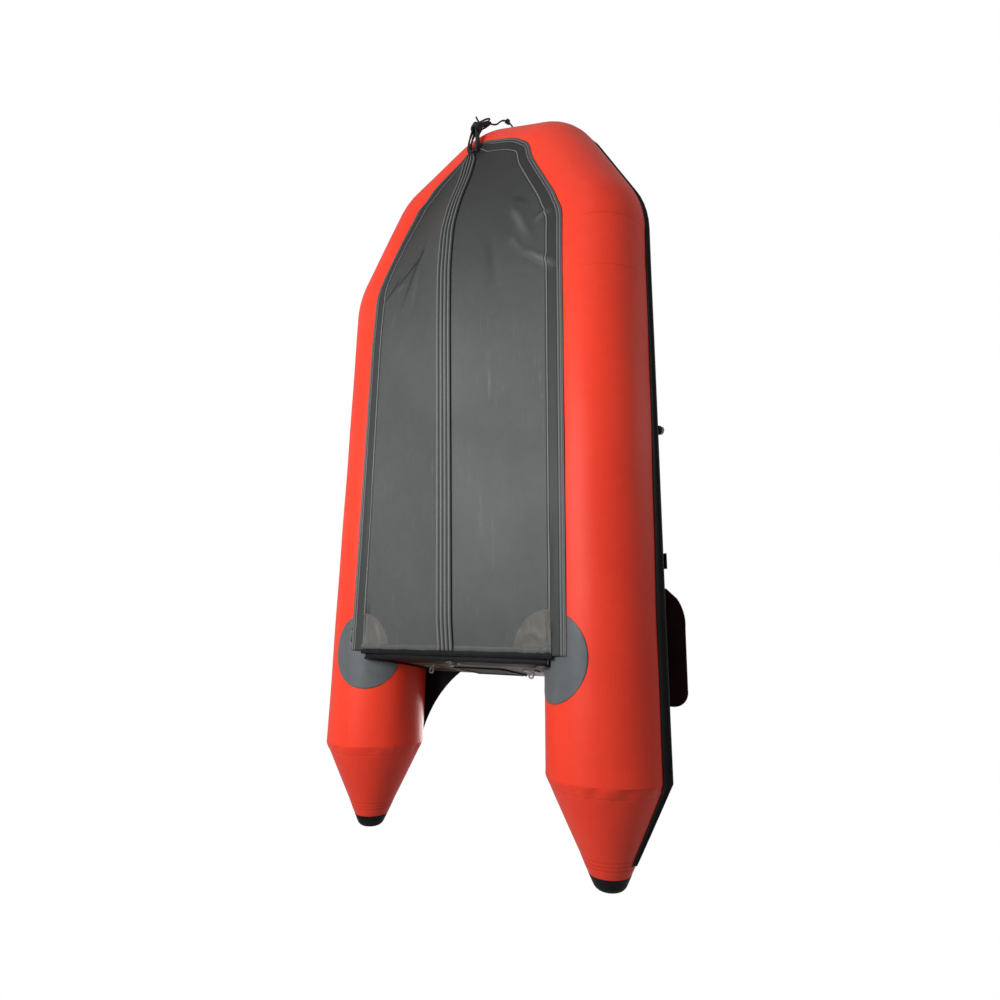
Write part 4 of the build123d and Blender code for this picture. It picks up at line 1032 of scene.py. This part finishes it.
def onNose(across, degrees, lift):
    turn = math.radians(degrees)
    lean = painter["lean"] * (painter["top"] - degrees) / (painter["top"] - painter["bottom"])
    return (across + lean + painter["aside"],
            nosePoint[1] - (radius / mitreShare + lift) * math.sin(turn),
            nosePoint[2] - (radius + lift) * math.cos(turn))


def hankStrand(side, k, shares):
    out = []
    for share in shares:
        degrees = painter["bottom"] + (painter["top"] - painter["bottom"]) * share
        pinch = math.exp(-((degrees - painter["middle"]) / painter["waistSpread"]) ** 2)
        wide = side * (painter["lobe"] * (1 - pinch) + painter["waist"] * pinch)
        lift = painter["levels"][k] + painter["waistLift"] * pinch
        out.append(onNose(wide + painter["shift"][k] * (1 - pinch), degrees, lift))
    return out


def hankFold(side, k, after, end, sign):  # the bend at an end of the hank, from turn k to the next
    perDegree = (radius + 0.03) * math.pi / 180
    swing = painter["lobe"] / perDegree * 1.06
    out = []
    for step in range(5):
        t = (step + 0.5) / 5
        degrees = painter[end] + sign * swing * math.sin(math.pi * t)
        lift = painter["levels"][k] * (1 - t) + painter["levels"][after] * t
        slide = painter["shift"][k] * (1 - t) + painter["shift"][after] * t
        out.append(onNose(side * painter["lobe"] * 1.04 * math.cos(math.pi * t) + slide, degrees, lift))
    return out


def hankWraps():
    centre = (painter["levels"][0] + painter["levels"][-1]) / 2 + painter["waistLift"]
    start = painter["middle"] - painter["wrapPitch"] * painter["wraps"] / 2
    out = []
    for k in range(12 * painter["wraps"] + 3):
        a = -0.55 + 2 * math.pi * k / 12
        lift = centre + painter["wrapDeep"] * math.sin(a)
        out.append(onNose(painter["wrapWide"] * math.cos(a), start + painter["wrapPitch"] * k / 12, lift))
    end = start + painter["wrapPitch"] * painter["wraps"]
    return out + [onNose(across, end + degrees, centre + lift) for across, degrees, lift in painter["tail"]]


def hankPoints():
    down, up = painter["down"], painter["down"][::-1]
    last = len(painter["levels"]) - 1
    out = [onNose(*place) for place in painter["lead"]]
    for k in range(last + 1):
        out += hankStrand(-1, k, down) + hankFold(-1, k, k, "bottom", -1)
        if k < last:
            out += hankStrand(1, k, up) + hankFold(1, k, k + 1, "top", 1)
    return out + hankStrand(1, last, up[:2]) + hankWraps()


def routeCurve(name, points):
    data = bpy.data.curves.new(name, "CURVE")
    data.dimensions = "3D"
    spline = data.splines.new("NURBS")
    spline.points.add(len(points) - 1)
    for p, co in zip(spline.points, points):
        p.co = (*co, 1)
    spline.order_u = 3
    spline.use_endpoint_u = True
    spline.resolution_u = 8
    return linked(name, data)


def braided(obj):
    shape = Shaping("braidedRope")
    step = shape.given("ringStep", painter["ringStep"])
    thick = shape.given("thickness", painter["thick"])
    pitch = shape.given("braidPitch", painter["braidPitch"])
    depth = shape.given("braidDepth", painter["braidDepth"])
    line = shape.node("GeometryNodeResampleCurve", {"mode": "LENGTH"}, Curve=shape.geometry(), Length=step)
    line = shape.keep(line, "along", shape.node("GeometryNodeSplineParameter", out=1))
    ring = shape.node("GeometryNodeCurvePrimitiveCircle", Resolution=16, Radius=thick * 0.5)
    ring = shape.keep(ring, "round", shape.node("GeometryNodeSplineParameter", out=0))
    rope = shape.node("GeometryNodeCurveToMesh", Curve=line, Profile_Curve=ring, Fill_Caps=True)
    turn = shape.named("round") * (2 * math.pi * 4)
    run = shape.named("along") * (2 * math.pi) / pitch
    weave = (turn + run).sine() * (turn - run).sine()
    normal = shape.node("GeometryNodeInputNormal")
    push = shape.node("ShaderNodeVectorMath", {"operation": "SCALE"}, i0=normal, Scale=weave * depth)
    rope = shape.node("GeometryNodeSetPosition", Geometry=rope, Offset=push)
    return shape.run(obj, rope, braid)


def knotPoints(path):
    path = np.array(path)
    near = int(np.argmin(np.linalg.norm(path - np.array(painterPoints[painter["knotAt"]]), axis=1)))
    ahead = unit(path[near + 2] - path[near - 2])
    side = unit(np.cross(ahead, np.array([0, 0, 1.0])))
    up = np.cross(side, ahead)
    reach, turns = painter["knotReach"], painter["knotTurns"]
    out = []
    for k in range(int(14 * turns) + 1):
        a = 2 * math.pi * k / 14
        along = reach * (k / 14 - turns / 2)
        out.append(tuple(path[near] + ahead * along + (side * math.cos(a) + up * math.sin(a)) * reach))
    return out


def makePainter():
    points = painterPoints + hankPoints()
    line = routeCurve("painterRope", points)
    path = [tuple(v.co) for v in plainMesh(line).vertices]
    rope = braided(line)
    dress(rope, braid, replaces=["painter_rope", "painter_hank"])
    knot = braided(routeCurve("painterKnot", knotPoints(path)))
    dress(knot, braid)


makePainter()
print("painter made")

# screws, set on plain points by a geometry tree
screws = {
    "radius": 0.0045,
    "height": 0.0022,
    "jointHalf": 0.32,
    "perRow": 9,
    "jointRows": (0.008, -0.011),  # from each board's forward edge
    "padColumns": (-0.112, 0.112),
    "padShares": (0.12, 0.5, 0.88),
    "padFace": 0.0075,
}


def screwHeads(name, places, normal):
    mesh = bpy.data.meshes.new(name)
    mesh.from_pydata([tuple(p) for p in places], [], [])
    holder = linked(name, mesh)
    shape = Shaping(name + "Tree")
    size = shape.given("headRadius", screws["radius"])
    tall = shape.given("headHeight", screws["height"])
    disc = shape.node("GeometryNodeMeshCylinder", Vertices=20, Side_Segments=1, Fill_Segments=1,
                      Radius=size, Depth=tall)
    crown = shape.node("GeometryNodeMeshCylinder", Vertices=20, Side_Segments=1, Fill_Segments=1,
                       Radius=size * 0.72, Depth=tall * 1.5)
    joined = shape.tree.nodes.new("GeometryNodeJoinGeometry")
    for part in (crown, disc):
        shape.tree.links.new(part.socket, joined.inputs[0])
    turn = Vector(normal).to_track_quat("Z", "Y").to_euler()
    spread = shape.node("GeometryNodeInstanceOnPoints", Points=shape.geometry(),
                        Instance=Val(shape.tree, joined.outputs[0]), Rotation=tuple(turn))
    piece = shape.run(holder, spread, steel)
    for face in piece.data.polygons:
        face.use_smooth = False
    dress(piece, steel)


def jointScrews():
    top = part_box("floor_joints")[1].z + screws["height"] * 0.3
    places = []
    for board in ("rear_floorboard", "middle_floorboard", "front_floorboard"):
        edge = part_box(board)[0].y
        for x in np.linspace(-screws["jointHalf"], screws["jointHalf"], screws["perRow"]):
            places += [(x, edge + row, top) for row in screws["jointRows"]]
    screwHeads("floorScrews", places, (0, 0, 1))


def padScrews():
    low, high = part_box("outer_motor_pad")
    places = []
    for x in screws["padColumns"]:
        for share in screws["padShares"]:
            z = low.z + (high.z - low.z) * share
            rise = (z - foot["boardBase"].z) / cosLean
            y = hull["sternEdge"] + rise * sinLean + (foot["boardThick"] + screws["padFace"]) * cosLean
            places.append((x, y, z))
    screwHeads("padScrews", places, (0, cosLean, -sinLean))


jointScrews()
padScrews()
print("screws made")

# the rigid parts keep their own forms and take their finishes
finishes = {
    "plywood": shadedTransomWood, "deck_plywood": deckWood, "alloy": alloy, "oar_alloy": blackPlastic,
    "black_plastic": blackPlastic, "valve_grey": greyPlastic, "steel": steel, "rope_black": braid,
    "trim_black": blackRubber, "tube_red": redCloth, "floor_grey": patchCloth, "strake_grey": patchCloth,
}
slots = {p["node"]: p["material_slot"] for p in frame["record"]["subparts"]}
for name, node in frame["nodes"].items():
    node.data.materials.clear()
    node.data.materials.append(finishes[slots[name]])
print("nodes finished")

# camera, stage and light
view = {
    "sensor": 36.0,
    "lens": 21.9748,
    "place": Matrix((
        (0.803624, 0.124047, 0.582066, 1.586356),
        (-0.01514, -0.973458, 0.228362, 0.877762),
        (0.594945, -0.19233, -0.780416, -1.693631),
        (0.0, 0.0, 0.0, 1.0),
    )),
}
lens = bpy.data.cameras.new("camera")
lens.sensor_width = view["sensor"]
lens.lens = view["lens"]
camera = linked("camera", lens)
camera.matrix_world = view["place"]
bpy.context.scene.camera = camera

stage = {
    "groundSize": 40,
    "groundColour": (0.84, 0.84, 0.84),
    "clearFrom": 1.9,  # the ground fades out between these two reaches
    "clearBy": 5.5,
    "ambient": 0.27,
    "mirrored": 0.34,
}


def makeGround():
    bpy.ops.mesh.primitive_plane_add(size=stage["groundSize"], location=(0, 0, 0))
    ground = bpy.context.object
    ground.name = "ground"
    f = Finish("paleGround")
    f.done(Base_Color=stage["groundColour"], Roughness=0.9)
    reach = f.node("ShaderNodeVectorMath", {"operation": "LENGTH"}, out=1, i0=f.where())
    away = f.between(reach, stage["clearFrom"], stage["clearBy"])
    below = f.node("ShaderNodeNewGeometry", out=6)  # from below the ground is clear
    hidden = away.maths("MAXIMUM", away, below)
    clear = f.node("ShaderNodeBsdfTransparent")
    mixer = f.node("ShaderNodeMixShader", i0=hidden, i2=clear)
    f.tree.links.new(f.shader.outputs[0], mixer.socket.node.inputs[1])
    f.tree.links.new(mixer.socket, f.tree.nodes["Material Output"].inputs[0])
    ground.data.materials.append(f.material)
    ground.visible_diffuse = ground.visible_glossy = ground.visible_transmission = False
    ground.visible_shadow = False


def makeWorld():
    world = bpy.data.worlds.new("studio")
    bpy.context.scene.world = world
    world.use_nodes = True
    nodes, links = world.node_tree.nodes, world.node_tree.links
    sky = nodes["Background"]
    sky.inputs[0].default_value = (1, 1, 1, 1)
    path = nodes.new("ShaderNodeLightPath")
    seen = Val(world.node_tree, path.outputs["Is Camera Ray"])
    seen = seen.maths("MAXIMUM", seen, Val(world.node_tree, path.outputs["Is Transmission Ray"]))
    glossy = Val(world.node_tree, path.outputs["Is Glossy Ray"])
    level = seen * (1 - stage["ambient"]) + glossy * (stage["mirrored"] - stage["ambient"]) + stage["ambient"]
    links.new(level.socket, sky.inputs[1])


makeGround()
makeWorld()
lamps = [  # name, place, size, power, aimed at
    ("keyLamp", (-0.80, -0.1, -3.1), 1.5, 146, (0.0, 0.3, 0.2)),
    ("sheenLamp", (-0.75, -0.2, -3.1), 2.2, 62, (0.0, 0.2, 0.2)),
    ("bowLamp", (0.9, -3.0, -1.4), 1.8, 16, (0.0, -1.2, 0.3)),
    ("topLamp", (-1.2, 0.6, 4.2), 3.2, 110, (0, 0, 0.3)),
    ("sideLamp", (4.2, -1.2, 2.2), 2.4, 14, (0, -0.2, 0.3)),
]
for name, place, size, power, aim in lamps:
    data = bpy.data.lights.new(name, "AREA")
    data.shape = "DISK"
    data.size = size
    data.energy = power
    lamp = linked(name, data)
    lamp.location = place
    lamp.rotation_mode = "QUATERNION"
    lamp.rotation_quaternion = (Vector(aim) - Vector(place)).to_track_quat("-Z", "Y")
    lamp.visible_glossy = name not in ("keyLamp", "bowLamp")
    lamp.visible_diffuse = name != "sheenLamp"
bpy.context.scene.view_settings.view_transform = "Standard"
print("stage, lamps and camera made")
